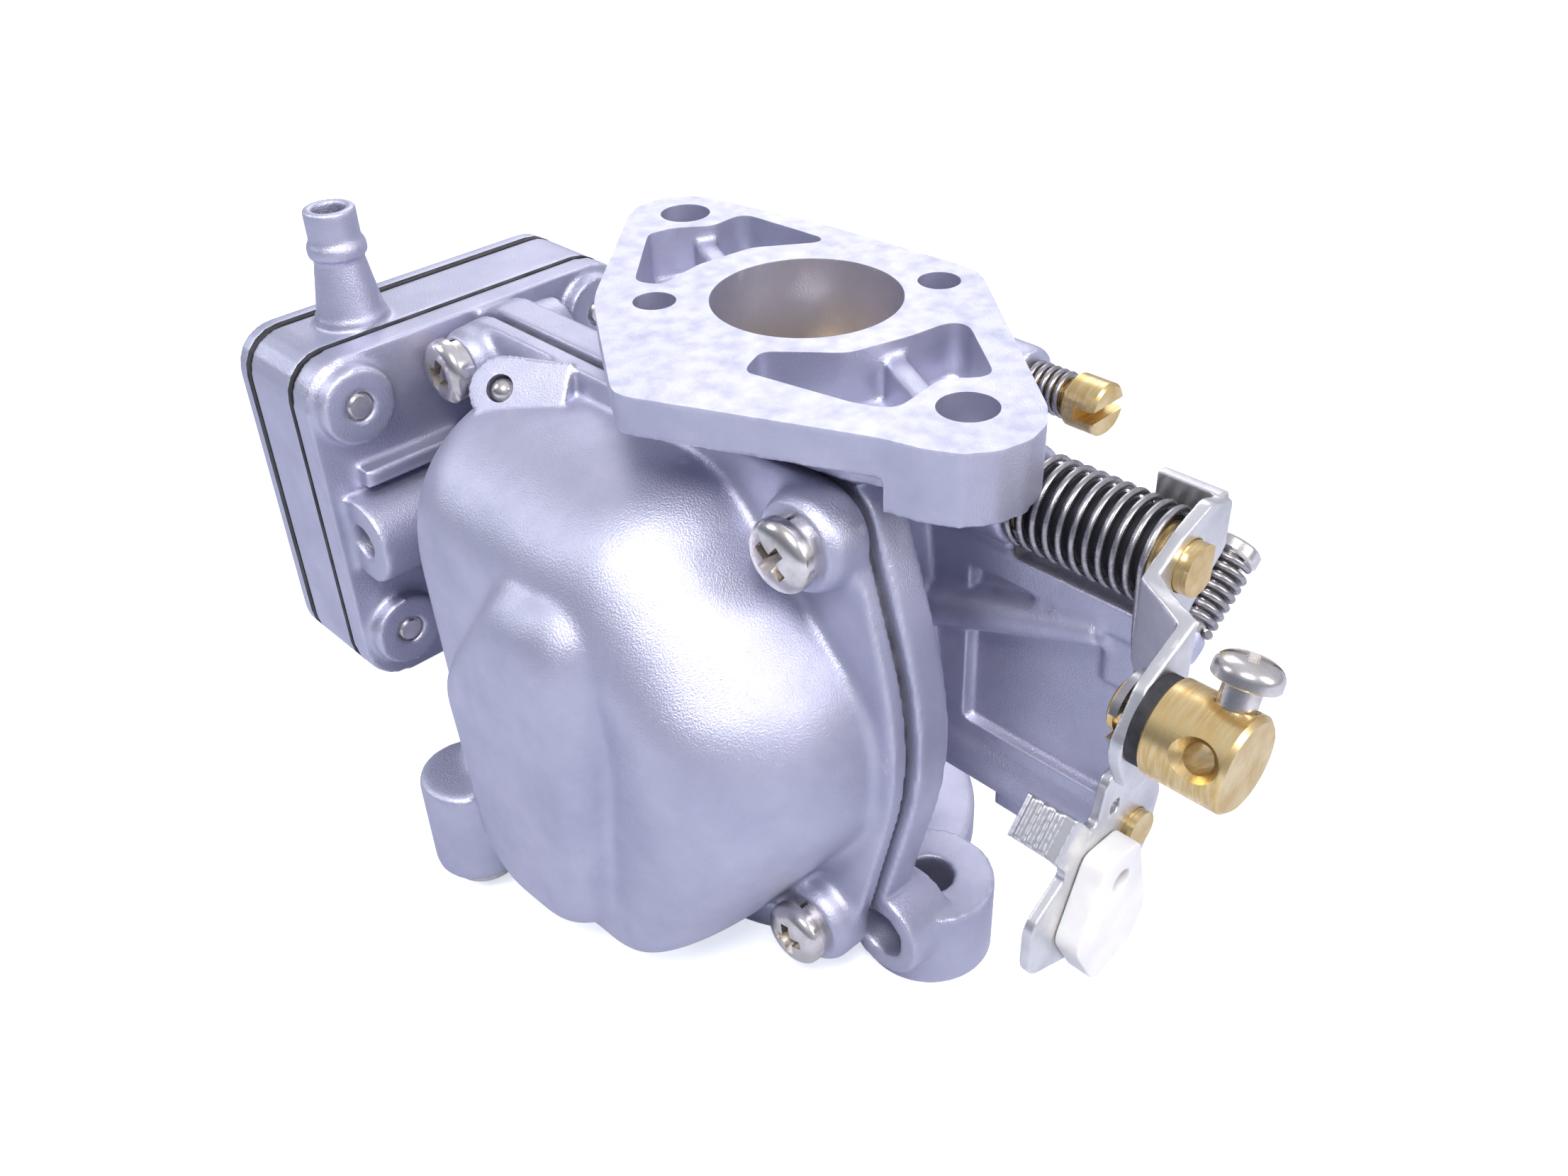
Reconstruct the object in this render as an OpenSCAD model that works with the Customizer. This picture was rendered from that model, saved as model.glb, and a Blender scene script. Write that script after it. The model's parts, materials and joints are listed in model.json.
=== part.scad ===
// Side-draught carburetor with a bolted-on diaphragm fuel pump, millimetres.
// Origin: centre of the throat on the engine flange's face. +Z leaves the engine
// flange, +X runs along the two shafts to the levers, and the float bowl is on -Y.

/* [Engine flange] */
// Thickness of the engine flange
flange_t = 5; // [4:0.5:6]
// Thickness of the flange's lever-side lobe
lobe_t = 9; // [8:0.5:9]
// Stud holes' distance from the throat along X
stud_x = 33; // [32.5:0.25:33.5]
// Stud holes' offset from the throat along Y
stud_y = 9; // [8.5:0.25:9.5]
// Stud hole radius
stud_r = 3.5; // [3:0.25:4]
// Radius of the two passage holes beside the throat
port_r = 2.75; // [2.25:0.25:2.75]

/* [Throat] */
// Throat radius at the engine end
bore_r = 12; // [11.9:0.1:12.1]
// Throat radius at the venturi
venturi_r = 10; // [9:0.5:10.5]
// Throat radius at the choke
choke_bore_r = 14.5; // [14.4:0.1:14.6]
// Radius of the flared air mouth
mouth_r = 18; // [17:0.5:19]
// Outer radius of the throat wall
throat_r = 16.6; // [16.5:0.1:16.7]
// Length from the engine face to the air face
body_l = 87; // [86.5:0.5:88]

/* [Shafts] */
// Depth of the throttle shaft below the engine face
throttle_depth = 14; // [14:0.25:14.5]
// Depth of the choke shaft below the engine face
choke_depth = 53; // [52.5:0.25:53.5]
// Radius of both shafts
shaft_r = 4; // [3.5:0.25:4]
// Radial running clearance of everything that turns or slides
run_gap = 0.05; // [0.03:0.01:0.08]
// How far the closed throttle disc leans from square
throttle_lean = 12; // [10:1:15]
// How far the choke disc has to turn to close
choke_swing = 75; // [70:1:76]

/* [Float bowl] */
// Body's joint face for the bowl, measured from the throat's axis
joint_y = 17; // [16.9:0.1:17.2]
// Thickness of every gasket
gasket_t = 0.8; // [0.6:0.1:0.8]
// Thickness of the bowl's flange
bowl_flange_t = 2.7; // [2.5:0.1:3]
// Depth of the bowl's dome below its flange
dome_depth = 22.5; // [22:0.5:23]
// Further depth of the dome's nose
nose_depth = 5; // [5:0.5:8]
// Wall thickness of the dome
dome_wall = 2.6; // [2:0.2:3]

/* [Fuel pump] */
// Thickness of the pump's middle casting
pump_t = 10.6; // [10:0.2:11]
// Thickness of the pump's outer cover
pump_cover_t = 2.2; // [2:0.2:2.6]
// Thickness of the diaphragm and of the valve sheet
sheet_t = 0.4; // [0.3:0.1:0.5]
// Bore radius of the fuel nipple
nipple_bore_r = 2.25; // [2:0.25:2.5]
// Radius of the fuel nipple's plain tip
nipple_tip_r = 3.5; // [3.25:0.25:3.75]

/* [Levers] */
// Thickness of the throttle lever's plate
lever_t = 1.6; // [1.4:0.1:1.6]
// Thickness of the choke lever's plate
choke_lever_t = 1.4; // [1.2:0.1:1.4]
// Radius of the brass cable barrel
barrel_r = 5.3; // [5:0.1:5.5]
// Radius of the barrel's cable hole
cable_r = 1.6; // [1.25:0.05:1.75]

/* [Springs] */
// Turns of the throttle return spring
return_turns = 10; // [8:1:11]
// Wire radius of the throttle return spring
return_wire_r = 0.42; // [0.35:0.01:0.42]
// Turns of the pilot screw's spring
pilot_turns = 5; // [4:1:6]
// Turns of the idle-stop screw's spring
idle_turns = 7; // [6:1:8]

/* [Hidden] */
$fn = 48;

zinc = [0.66, 0.67, 0.73];
steel = [0.72, 0.72, 0.7];
dark_steel = [0.42, 0.42, 0.44];
brass = [0.78, 0.6, 0.28];
paper = [0.1, 0.1, 0.11];

eps = 0.01;          // cutters reach past a face by this much
cut = 1;             // through cutters reach past both faces by this much
throttle_z = -throttle_depth;
choke_z = -choke_depth;

// Bowl: joint plane, flange face and front of the dome, all along Y
gasket_y = -joint_y - gasket_t;
rim_y = gasket_y - bowl_flange_t;
dome_y = rim_y - dome_depth;
nose_y = dome_y - nose_depth;
bowl_screw_at = [[21.7, -15.5], [21.7, -76], [-43.6, -15], [-43.6, -76]];
screw_boss_y = -24.2;
spring_washer_t = 1.1;
drain_at = [-27.5, -43.5];
drain_z = -82;

// Pump: stack of plates along X, outward from the body's own front plate
pump_face_x = -52.6;
pump_plate_x = -48.5;
// Pulse port: a boss on the pump's inner plate, open to the front
pulse_at = [-45.4, -35.6];
pulse_y = -43;
valve_x = pump_face_x - gasket_t + sheet_t;
mid_x = pump_face_x - gasket_t;
mid_back_x = mid_x - pump_t;
cover_x = mid_back_x - sheet_t - gasket_t;
pump_y = [-45, 9];
pump_z = [-62, -10];
pump_corner = 6;
pump_screw_at = [[-38.5, -16.5], [-38.5, -53.5], [2, -16.5], [2, -53.5]];
nipple_at = [-58.5, -31];

// Lever side
arm_end_x = 54;
arm_front_y = -3.5;
arm_back_y = 2;
arm_top_z = -20.4;
lever_x = arm_end_x + 0.4;
port_depth = 5;
joggle = 6.5;
lever_out_x = lever_x + joggle;
barrel_at = [-14.6, -22];
barrel_x = [64, 73];
cable_x = 69.8;
barrel_lean = atan2(5, 12);
spring_x = [36.2, 53.6];
spring_r = 5.33;
choke_lever_x = 52.6;
clip_pivot = [-8, -62];

// Idle-stop screw: leans up and back in the plane x = idle_x
idle_x = 54;
idle_end = [12.5, -20];
idle_lean = atan2(4, 3);
idle_spring_l = 9.4;
idle_lug_l = 3.4;
idle_tip = 15.2;

// Pilot screw: parallel to the shafts, behind the throat
pilot_at = [13, -8];
pilot_boss_x = 25;
pilot_head_x = 31.4;
pilot_end_x = 36;

// Air side
ear_at = [28, -6.5];
ear_r = 9;
ear_hole_r = 3.3;
ring_r = 24;
ring_t = 4.8;
lug_at = [28.4, -78.2];
lug_hole_r = 3.6;

// Inside the bowl
nozzle_z = -34;
column_r = 5;
pilot_jet_z = -46;
float_z = -40;
float_y = [-31, -23.9];
float_r = 16.6;
float_hole_r = 12.5;
pin_at = [-21.5, -71];
needle_z = -66.5;

// ---- helpers ----

function unit(v) = v / norm(v);

// Arc that rounds corner b of the path a-b-c to radius r, in n steps
function corner(a, b, c, r, n) =
    let (u = unit(a - b), w = unit(c - b), half = acos(u * w) / 2,
        centre = b + unit(u + w) * r / sin(half),
        from = b + u * r / tan(half) - centre, to = b + w * r / tan(half) - centre,
        a0 = atan2(from.y, from.x), sweep = (atan2(to.y, to.x) - a0 + 540) % 360 - 180)
    [for (k = [0 : n]) centre + r * [cos(a0 + sweep * k / n), sin(a0 + sweep * k / n)]];

// Outline with rounded corners from a list of [x, y, corner radius]
function rounded(v, n = 5) =
    let (m = len(v))
    [for (i = [0 : m - 1])
        let (a = v[(i + m - 1) % m], b = v[i], c = v[(i + 1) % m])
        each corner([a.x, a.y], [b.x, b.y], [c.x, c.y], b.z, n)];

function mix(a, b, t) = [for (i = [0 : len(a) - 1]) a[i] * (1 - t) + b[i] * t];

module along_x(x0, x1, at, r) {
    translate([x0, at[0], at[1]]) rotate([0, 90, 0]) cylinder(h = x1 - x0, r = r);
}

module along_y(y0, y1, at, r) {
    translate([at[0], y1, at[1]]) rotate([90, 0, 0]) cylinder(h = y1 - y0, r = r);
}

module along_z(z0, z1, at, r) {
    translate([at[0], at[1], z0]) cylinder(h = z1 - z0, r = r);
}

// A flat shape drawn in (y, z), given thickness along X
module slab_x(x0, x1) {
    translate([x0, 0, 0]) rotate([90, 0, 90]) linear_extrude(x1 - x0) children();
}

// A flat shape drawn in (x, z), given thickness along Y
module slab_y(y0, y1) {
    translate([0, y1, 0]) rotate([90, 0, 0]) linear_extrude(y1 - y0) children();
}

module block(x, y, z) {
    translate([x[0], y[0], z[0]]) cube([x[1] - x[0], y[1] - y[0], z[1] - z[0]]);
}

// Closed solid through rings of equally many points
module loft(rings) {
    n = len(rings[0]);
    m = len(rings);
    polyhedron(points = [for (ring = rings) each ring],
        faces = concat([[for (i = [0 : n - 1]) i]],
            [for (j = [0 : m - 2], i = [0 : n - 1])
                let (k = (i + 1) % n) [j * n + i, (j + 1) * n + i, (j + 1) * n + k, j * n + k]],
            [[for (i = [n - 1 : -1 : 0]) (m - 1) * n + i]]), convexity = 6);
}

// Round wire along a path; axis is a direction the path never runs along
module wire(path, r, axis, sides = 6) {
    last = len(path) - 1;
    loft([for (i = [0 : last])
        let (t = unit(path[min(i + 1, last)] - path[max(i - 1, 0)]),
            side = unit(cross(t, axis)), up = cross(side, t))
        [for (k = [0 : sides - 1])
            path[i] + r * (cos(k * 360 / sides) * side + sin(k * 360 / sides) * up)]]);
}

// Coil about +Z from z = 0 to z = l, starting at angle from
function coil(turns, r, l, steps = 14, from = 0) =
    [for (i = [0 : turns * steps]) [r * cos(from + i * 360 / steps), r * sin(from + i * 360 / steps),
        l * i / (turns * steps)]];

// Pan-head screw, head up, under-head face at z = 0, with a cross recess
module pan_screw(shank_r, shank_l, head_r, head_h) {
    difference() {
        union() {
            translate([0, 0, -shank_l]) cylinder(h = shank_l + eps, r = shank_r);
            cylinder(h = head_h * 0.6, r = head_r);
            translate([0, 0, head_h * 0.6 - eps]) cylinder(h = head_h * 0.4, r1 = head_r, r2 = head_r * 0.72);
        }
        for (a = [0, 90]) rotate([0, 0, a + 20])
            translate([-head_r * 0.55, -head_r * 0.13, head_h * 0.45])
                cube([head_r * 1.1, head_r * 0.26, head_h]);
    }
}

// ---- outlines ----

flange_v = [[-47.7, 13.5, 7.4], [-14, 18.7, 30], [10.8, 20.1, 8], [52.4, -14.4, 9],
    [30.5, -20.2, 15], [2.7, -32.6, 4], [-19, -18.3, 30]];
back_pocket_v = [[-19.5, -11.3, 2], [-30.8, 0.4, 2], [-30, 4, 2], [-26.4, 8.3, 2.5],
    [-26.8, 14.2, 2], [-10, 15.1, 1.2], [-16.6, 6.4, 4], [-17.6, -2, 6], [-16.2, -9.5, 1.2]];
front_pocket_v = [[18.2, 8.2, 2], [30.8, -1.6, 1.8], [26.6, -6, 2.5], [27.8, -14.6, 2.5],
    [23.5, -16.4, 2], [9.2, -19.2, 1.5], [7, -14.4, 1.5], [14.8, -8, 4], [17, 0, 6]];
back_tub_v = [[-17, -15, 3], [-33, 1, 3], [-28.6, 9.4, 2], [-28.8, 16.6, 3], [0, 17, 3], [0, -10, 3]];
front_tub_v = [[20, 10.5, 3], [33, -1.5, 3], [28.6, -7.5, 2], [29.8, -16, 3], [24.5, -18.4, 3],
    [8, -21.2, 3], [0, -14, 3], [0, 8, 3]];
bowl_v = [[-48.2, -9.6, 5], [25, -9.4, 6], [35, -42, 48], [25.6, -81.5, 5.2], [-48.2, -81.5, 5]];
body_rim_v = [[-49, -9, 5], [26, -8.6, 6.5], [36.6, -42, 48], [26.6, -82, 5.6], [-49, -82, 5]];
dome_v = [[-38, -13.5, 9], [6, -12.5, 14], [31, -38, 18], [30, -54, 14], [13, -80, 12], [-38, -80, 9]];
dome_front_v = [[-28.5, -29, 8], [-1, -27, 12], [12, -38, 12], [14, -56, 14], [9, -78, 9], [-23.5, -79, 9]];
nose_v = [[-27, -46, 7], [-10, -23.5, 8], [6, -22.5, 7], [9, -42, 18], [4, -78, 8], [-24, -78.5, 8]];
nose_front_v = [[-18, -46, 5], [-8, -32, 6], [0, -31, 5], [3, -46, 14], [1, -73, 7], [-14, -74, 7]];
pump_v = [[pump_y[0], pump_z[0], pump_corner], [pump_y[1], pump_z[0], pump_corner],
    [pump_y[1], pump_z[1], pump_corner], [pump_y[0], pump_z[1], pump_corner]];
core_v = [[-29, -8.5, 6], [22, -8.5, 6], [26, -42, 30], [21, -80, 6], [-29, -80, 6]];

// Dome rings: the outline shrinks from base to front along a super-elliptic profile
function swell(t, p) = pow(1 - pow(t, p), 1 / p);
function ring_y(v, y) = [for (p = rounded(v)) [p.x, y, p.y]];
function dome_rings(base, front, y0, y1, p, steps) =
    [for (k = [0 : steps]) let (t = sin(90 * k / steps), s = 1 - swell(t, p))
        ring_y([for (i = [0 : len(base) - 1]) mix(base[i], front[i], s)], y0 + (y1 - y0) * t)];

// Inside of the dome: the same corners drawn in towards its middle
function drawn_in(v, k, c) = [for (p = v) [c.x + (p.x - c.x) * k, c.y + (p.y - c.y) * k, p.z * k]];
dome_mid = [-5, -46];
dome_in = 1 - dome_wall / 32;

// ---- body casting ----

module flange_part() {
    translate([0, 0, -flange_t]) linear_extrude(flange_t) polygon(rounded(flange_v));
    translate([0, 0, -lobe_t]) linear_extrude(lobe_t - 1) intersection() {
        polygon(rounded(flange_v));
        translate([31, -40]) square([40, 60]);
    }
    translate([0, 0, -8.8]) linear_extrude(8) polygon(rounded(back_tub_v));
    translate([0, 0, -8.8]) linear_extrude(8) polygon(rounded(front_tub_v));
}

module flange_cuts() {
    for (s = [-1, 1]) along_z(-lobe_t - 4, cut, [s * stud_x, -s * stud_y], stud_r);
    along_z(-port_depth, cut, [-13, -13.4], port_r);
    along_z(-port_depth, cut, [9, 14.3], port_r);
    translate([0, 0, -7.2]) linear_extrude(9) polygon(rounded(back_pocket_v));
    translate([0, 0, -7.2]) linear_extrude(9) polygon(rounded(front_pocket_v));
    along_x(35.6, 62, [0, throttle_z], 6.3);
}

module pocket_ribs() {
    for (s = [-1, 1]) rotate([0, 0, s < 0 ? 180 : 0]) translate([21.5, -4.6, -6]) rotate([0, 0, -26])
        translate([0, 0, 1]) cube([16, 3, 5.6], center = true);
}

module throat_bore() {
    along_z(-28, cut, [0, 0], bore_r);
    translate([0, 0, -31]) cylinder(h = 3 + eps, r1 = venturi_r, r2 = bore_r);
    along_z(-36.5, -31 + eps, [0, 0], venturi_r);
    translate([0, 0, -46]) cylinder(h = 9.5 + eps, r1 = choke_bore_r, r2 = venturi_r);
    along_z(-body_l + 6, -46 + eps, [0, 0], choke_bore_r);
    translate([0, 0, -body_l - eps]) cylinder(h = 6 + 2 * eps, r1 = mouth_r, r2 = choke_bore_r);
}

module air_side() {
    along_z(-body_l, -body_l + ring_t, [0, 0], ring_r);
    for (s = [-1, 1]) rotate([0, 0, s < 0 ? 180 : 0]) {
        along_z(-body_l, -75, ear_at, ear_r);
        block([14, 28], [-11, -2], [-body_l, -77]);
    }
}

module pump_front_plate() {
    slab_x(pump_face_x, pump_plate_x) polygon(rounded(pump_v));
    for (at = pump_screw_at) along_x(pump_plate_x - 1, -46, at, 5.5);
    along_y(pulse_y, -26, pulse_at, 6.2);
    block([-49, -45.6], [-40, -24], [-28.5, -26]);
    // bridge to the bowl face and the strut behind the throat
    block([-49, -26], [-13, -9.5], [-60, -13]);
    block([-49, -12], [2, 7], [-58, -40]);
}

module right_arm() {
    difference() {
        block([18, arm_end_x], [arm_front_y, arm_back_y], [-50, arm_top_z]);
        block([30, arm_end_x + cut], [arm_front_y - cut, arm_front_y + 1.6], [-47.5, -24.2]);
    }
    // raised pad and tapered rib on the panel
    block([48.7, arm_end_x], [arm_front_y + 0.8, arm_back_y], [-31.6, -25]);
    translate([24, arm_front_y + 0.6, -32]) rotate([0, 74, 0]) cylinder(h = 25.5, r1 = 3.4, r2 = 1.7);
    // bearing tube of the choke shaft and the web under it
    along_x(14, 51.6, [0, choke_z], 5);
    block([34, 50.6], [-1.1, 0.9], [-61.5, -56]);
    // lug of the idle-stop screw
    idle_axis() translate([0, 0, -idle_spring_l - 0.1 - idle_lug_l]) cylinder(h = idle_lug_l, r = 3);
    block([49.5, 53.9], [arm_back_y - 1, 5.4], [-30, -25]);
}

module idle_axis() {
    translate([idle_x, idle_end[0], idle_end[1]]) rotate([-idle_lean, 0, 0]) children();
}

module bosses() {
    for (x = [[-25, -12], [12, 35.4]]) along_x(x[0], x[1], [0, throttle_z], 6);
    along_x(-26, -12, [0, choke_z], 6.5);
    along_x(10, pilot_boss_x, pilot_at, 4.2);
    along_y(-joint_y, -9, lug_at, 6.5);
    block([20, 27], [-joint_y, -10], [-82, -72]);
    for (i = [2, 3]) along_y(-joint_y, -7, bowl_screw_at[i], 4.6);
    // drilled passage along the back of the throat, and its gussets
    along_z(-70, -6, [-7, 16], 4.2);
    slab_x(-1.2, 1.2) polygon([[14, -8.7], [19, -8.7], [16, -36], [14, -36]]);
    slab_x(-1.2, 1.2) polygon([[14, -60], [16, -60], [22, -82.4], [14, -82.4]]);
}

module float_mounts() {
    along_y(-36, -joint_y + 1, [0, nozzle_z], column_r);
    along_y(-26, -joint_y + 1, [0, pilot_jet_z], 3.2);
    along_y(-18.6, -joint_y + 1, [0, needle_z], 4);
    for (s = [-1, 1]) block([s * 10.5 - 1.3, s * 10.5 + 1.3], [-23.8, -joint_y + 1], [-73.4, -68.6]);
}

module body_cuts() {
    throat_bore();
    flange_cuts();
    along_x(-22.5, 37, [0, throttle_z], shaft_r + run_gap);
    along_x(-23.5, 53, [0, choke_z], shaft_r + run_gap);
    for (at = bowl_screw_at) along_y(-joint_y - cut, -9, at, 2.5 + run_gap);
    for (at = pump_screw_at) along_x(pump_face_x - cut, -45, at, 2 + run_gap);
    along_y(pulse_y - cut, pulse_y + 10, pulse_at, 2.5);
    for (s = [-1, 1]) along_z(-body_l - cut, -74, [s * ear_at[0], s * ear_at[1]], ear_hole_r);
    along_y(-joint_y - cut, -11, lug_at, lug_hole_r);
    along_x(8.8, pilot_boss_x + cut, pilot_at, 1.9 + run_gap);
    idle_axis() translate([0, 0, -idle_tip - 2]) cylinder(h = 8, r = 2 + run_gap);
    idle_axis() translate([0, 0, -idle_spring_l - 0.1]) cylinder(h = 5, r = 3.5);
    // room for the choke lever to turn past the arm's end
    block([choke_lever_x - 0.4, 60], [-8, 8], [-62, -39.4]);
    // nozzle well, jet wells, needle seat and float pin
    along_y(-40, -8, [0, nozzle_z], 2.5);
    along_y(-30, -12, [0, pilot_jet_z], 1.6);
    along_y(-30, -15.2, [0, needle_z], 2.6);
    along_x(-13, 13, pin_at, 0.8 + run_gap);
    // drilled back passage and the parting groove on the bridge
    along_z(-66, -12, [-7, 16], 1.5);
    along_z(-71, -66 + eps, [-7, 16], 2.5);
    block([-48, -29], [-12.8, -12.3], [-13.4, -12]);
}

module body() {
    color(zinc) {
        difference() {
            union() {
                flange_part();
                along_z(-84, -3, [0, 0], throat_r);
                slab_y(-joint_y, -11.6) polygon(rounded(body_rim_v));
                slab_y(-13, -2) polygon(rounded(core_v));
                air_side();
                pump_front_plate();
                right_arm();
                bosses();
                float_mounts();
            }
            body_cuts();
        }
        pocket_ribs();
    }
}

// ---- float bowl ----

// Frame of the raised vent lug: its face looks out and up past the dome's shoulder
module vent_frame() {
    translate([-29, -27.3, -12.1]) rotate([0, 0, 28]) rotate([48, 0, 0]) children();
}

module float_bowl() {
    color(zinc) difference() {
        union() {
            slab_y(rim_y, gasket_y) polygon(rounded(bowl_v));
            hull() loft(dome_rings(dome_v, dome_front_v, rim_y + 0.2, dome_y, 2.2, 7));
            hull() loft(dome_rings(nose_v, nose_front_v, dome_y + 5, nose_y, 2, 5));
            for (i = [0, 1]) along_y(screw_boss_y, rim_y + 0.5, bowl_screw_at[i], 5.5);
            for (i = [2, 3]) along_y(screw_boss_y, rim_y + 0.5, bowl_screw_at[i], 4.4);
            along_z(drain_z, -66, drain_at, 7);
            vent_frame() {
                translate([0, 0, -9]) cylinder(h = 9, r = 4.5);
                translate([0, -4.5, -9]) cube([9.5, 9, 9]);
            }
        }
        hull() loft(dome_rings(drawn_in(dome_v, dome_in, dome_mid), drawn_in(dome_front_v, dome_in, dome_mid),
            gasket_y + 0.5, dome_y + dome_wall, 2.2, 6));
        for (at = bowl_screw_at) along_y(-30, -10, at, 2.65);
        along_z(drain_z - cut, -70, drain_at, 3 + run_gap);
        vent_frame() translate([0, 0, -3.4]) cylinder(h = 5, r = 1.9);
        // the vent lug ends at the joint face
        block([-60, 40], [gasket_y, 10], [-90, 10]);
    }
}

module bowl_gasket() {
    color(paper) difference() {
        slab_y(gasket_y, -joint_y) polygon(rounded(bowl_v));
        slab_y(gasket_y - cut, -joint_y + cut) polygon(rounded(drawn_in(dome_v, dome_in, dome_mid)));
        for (at = bowl_screw_at) along_y(-30, -10, at, 2.65);
    }
}

module bowl_screws() {
    color(steel) for (at = bowl_screw_at)
        translate([at[0], screw_boss_y - spring_washer_t, at[1]]) rotate([90, 0, 0])
            pan_screw(2.5, 15.6, 4.5, 2.7);
}

module bowl_screw_washers() {
    color(steel) for (at = bowl_screw_at) difference() {
        along_y(screw_boss_y - spring_washer_t, screw_boss_y, at, 4.1);
        along_y(-30, -20, at, 2.6);
        translate([at[0] - 0.3, -30, at[1]]) cube([0.6, 10, 8]);
    }
}

module drain_screw() {
    color(steel) translate([drain_at[0], drain_at[1], drain_z - 0.8]) rotate([180, 0, 0])
        pan_screw(3, 9, 5, 2.4);
}

module drain_washer() {
    color(paper) difference() {
        along_z(drain_z - 0.8, drain_z, drain_at, 5.4);
        along_z(drain_z - 3, drain_z + 3, drain_at, 3.05);
    }
}

module vent_ball() {
    color(steel) vent_frame() translate([0, 0, -1.55]) sphere(r = 1.8);
}

// ---- fuel pump ----

module pump_screw_holes(r) {
    for (at = pump_screw_at) along_x(-80, -40, at, r);
}

module pump_nipple() {
    along_z(pump_z[1] - 1, -8.8, nipple_at, 5);
    translate([nipple_at[0], nipple_at[1], -8.8 - eps]) cylinder(h = 8.4, r1 = 4.7, r2 = 3.3);
    translate([nipple_at[0], nipple_at[1], -0.4 - eps]) cylinder(h = 1.4 + 2 * eps, r = 4);
    translate([nipple_at[0], nipple_at[1], 1]) cylinder(h = 0.8, r1 = 4, r2 = nipple_tip_r);
    translate([nipple_at[0], nipple_at[1], 1.8 - eps]) cylinder(h = 4.2, r = nipple_tip_r);
}

module pump_body() {
    color(zinc) difference() {
        union() {
            slab_x(mid_back_x, mid_x) polygon(rounded(pump_v));
            pump_nipple();
        }
        pump_screw_holes(2.2);
        along_z(-24, 8, nipple_at, nipple_bore_r);
        // diaphragm chamber at the back, valve pockets at the front
        along_x(mid_back_x - cut, mid_back_x + 4, [-18, -35], 17);
        for (y = [-29, -9]) along_x(mid_x - 3, mid_x + cut, [y, -40], 6);
        for (y = [-29, -9]) along_x(mid_back_x - cut, mid_x + cut, [y, -40], 1.5);
    }
}

module pump_gasket() {
    color(paper) difference() {
        slab_x(valve_x, pump_face_x) polygon(rounded(pump_v));
        pump_screw_holes(2.2);
        for (y = [-29, -9]) along_x(-60, -40, [y, -40], 6);
    }
}

// Sheet with two tongues, cut free on three sides, that act as check valves
module pump_valve_sheet() {
    color("dimgray") difference() {
        slab_x(mid_x, valve_x) polygon(rounded(pump_v));
        pump_screw_holes(2.2);
        for (y = [-29, -9]) difference() {
            along_x(mid_x - cut, valve_x + cut, [y, -40], 5);
            along_x(mid_x - 2, valve_x + 2, [y, -40], 4);
            block([mid_x - 2, valve_x + 2], [y - 1.5, y + 1.5], [-40, -34]);
        }
    }
}

module pump_diaphragm() {
    color("dimgray") difference() {
        slab_x(mid_back_x - sheet_t, mid_back_x) polygon(rounded(pump_v));
        pump_screw_holes(2.2);
    }
}

module pump_cover_gasket() {
    color(paper) difference() {
        slab_x(cover_x, cover_x + gasket_t) polygon(rounded(pump_v));
        pump_screw_holes(2.2);
        along_x(-80, -40, [-18, -35], 17);
    }
}

module pump_cover() {
    color(zinc) difference() {
        union() {
            slab_x(cover_x - pump_cover_t, cover_x) polygon(rounded(pump_v));
            along_x(cover_x - pump_cover_t - 1.2, cover_x - 1, [-18, -35], 15);
        }
        pump_screw_holes(2.2);
        along_x(cover_x - 1.4, cover_x + cut, [-18, -35], 13.5);
    }
}

module pump_screws() {
    color(steel) for (at = pump_screw_at)
        translate([cover_x - pump_cover_t, at[0], at[1]]) rotate([0, -90, 0]) pan_screw(2, 21.3, 3.8, 2.4);
}

// ---- throttle ----

module disc_slot(z, lean, t, x) {
    translate([0, 0, z]) rotate([lean, 0, 0]) cube([2 * x, 2 * shaft_r + 4, t], center = true);
}

module throttle_shaft() {
    color(brass) difference() {
        union() {
            along_x(-22, lever_x - 0.02, [0, throttle_z], shaft_r);
            along_x(lever_x - 1, lever_x + lever_t + 1.5, [0, throttle_z], 3);
        }
        disc_slot(throttle_z, -throttle_lean, 1.26, bore_r);
        disc_screws_at(throttle_z, -throttle_lean) translate([0, 0, -6]) cylinder(h = 12, r = 1.55);
        // flat across the riveted end
        block([lever_x + lever_t + eps, 70], [2.2, 5], [-20, -8]);
    }
}

module disc_screws_at(z, lean) {
    translate([0, 0, z]) rotate([lean, 0, 0]) for (x = [-5, 5]) translate([x, 0, 0]) children();
}

module throttle_plate() {
    color(brass) difference() {
        intersection() {
            translate([0, 0, throttle_z]) rotate([-throttle_lean, 0, 0]) cube([40, 40, 1.2], center = true);
            along_z(-30, -1, [0, 0], bore_r - 0.08);
        }
        disc_screws_at(throttle_z, -throttle_lean) translate([0, 0, -6]) cylinder(h = 12, r = 1.55);
    }
}

module throttle_plate_screws() {
    color(steel) disc_screws_at(throttle_z, -throttle_lean)
        translate([0, 0, shaft_r]) pan_screw(1.5, 7.6, 2.6, 1.2);
}

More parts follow.
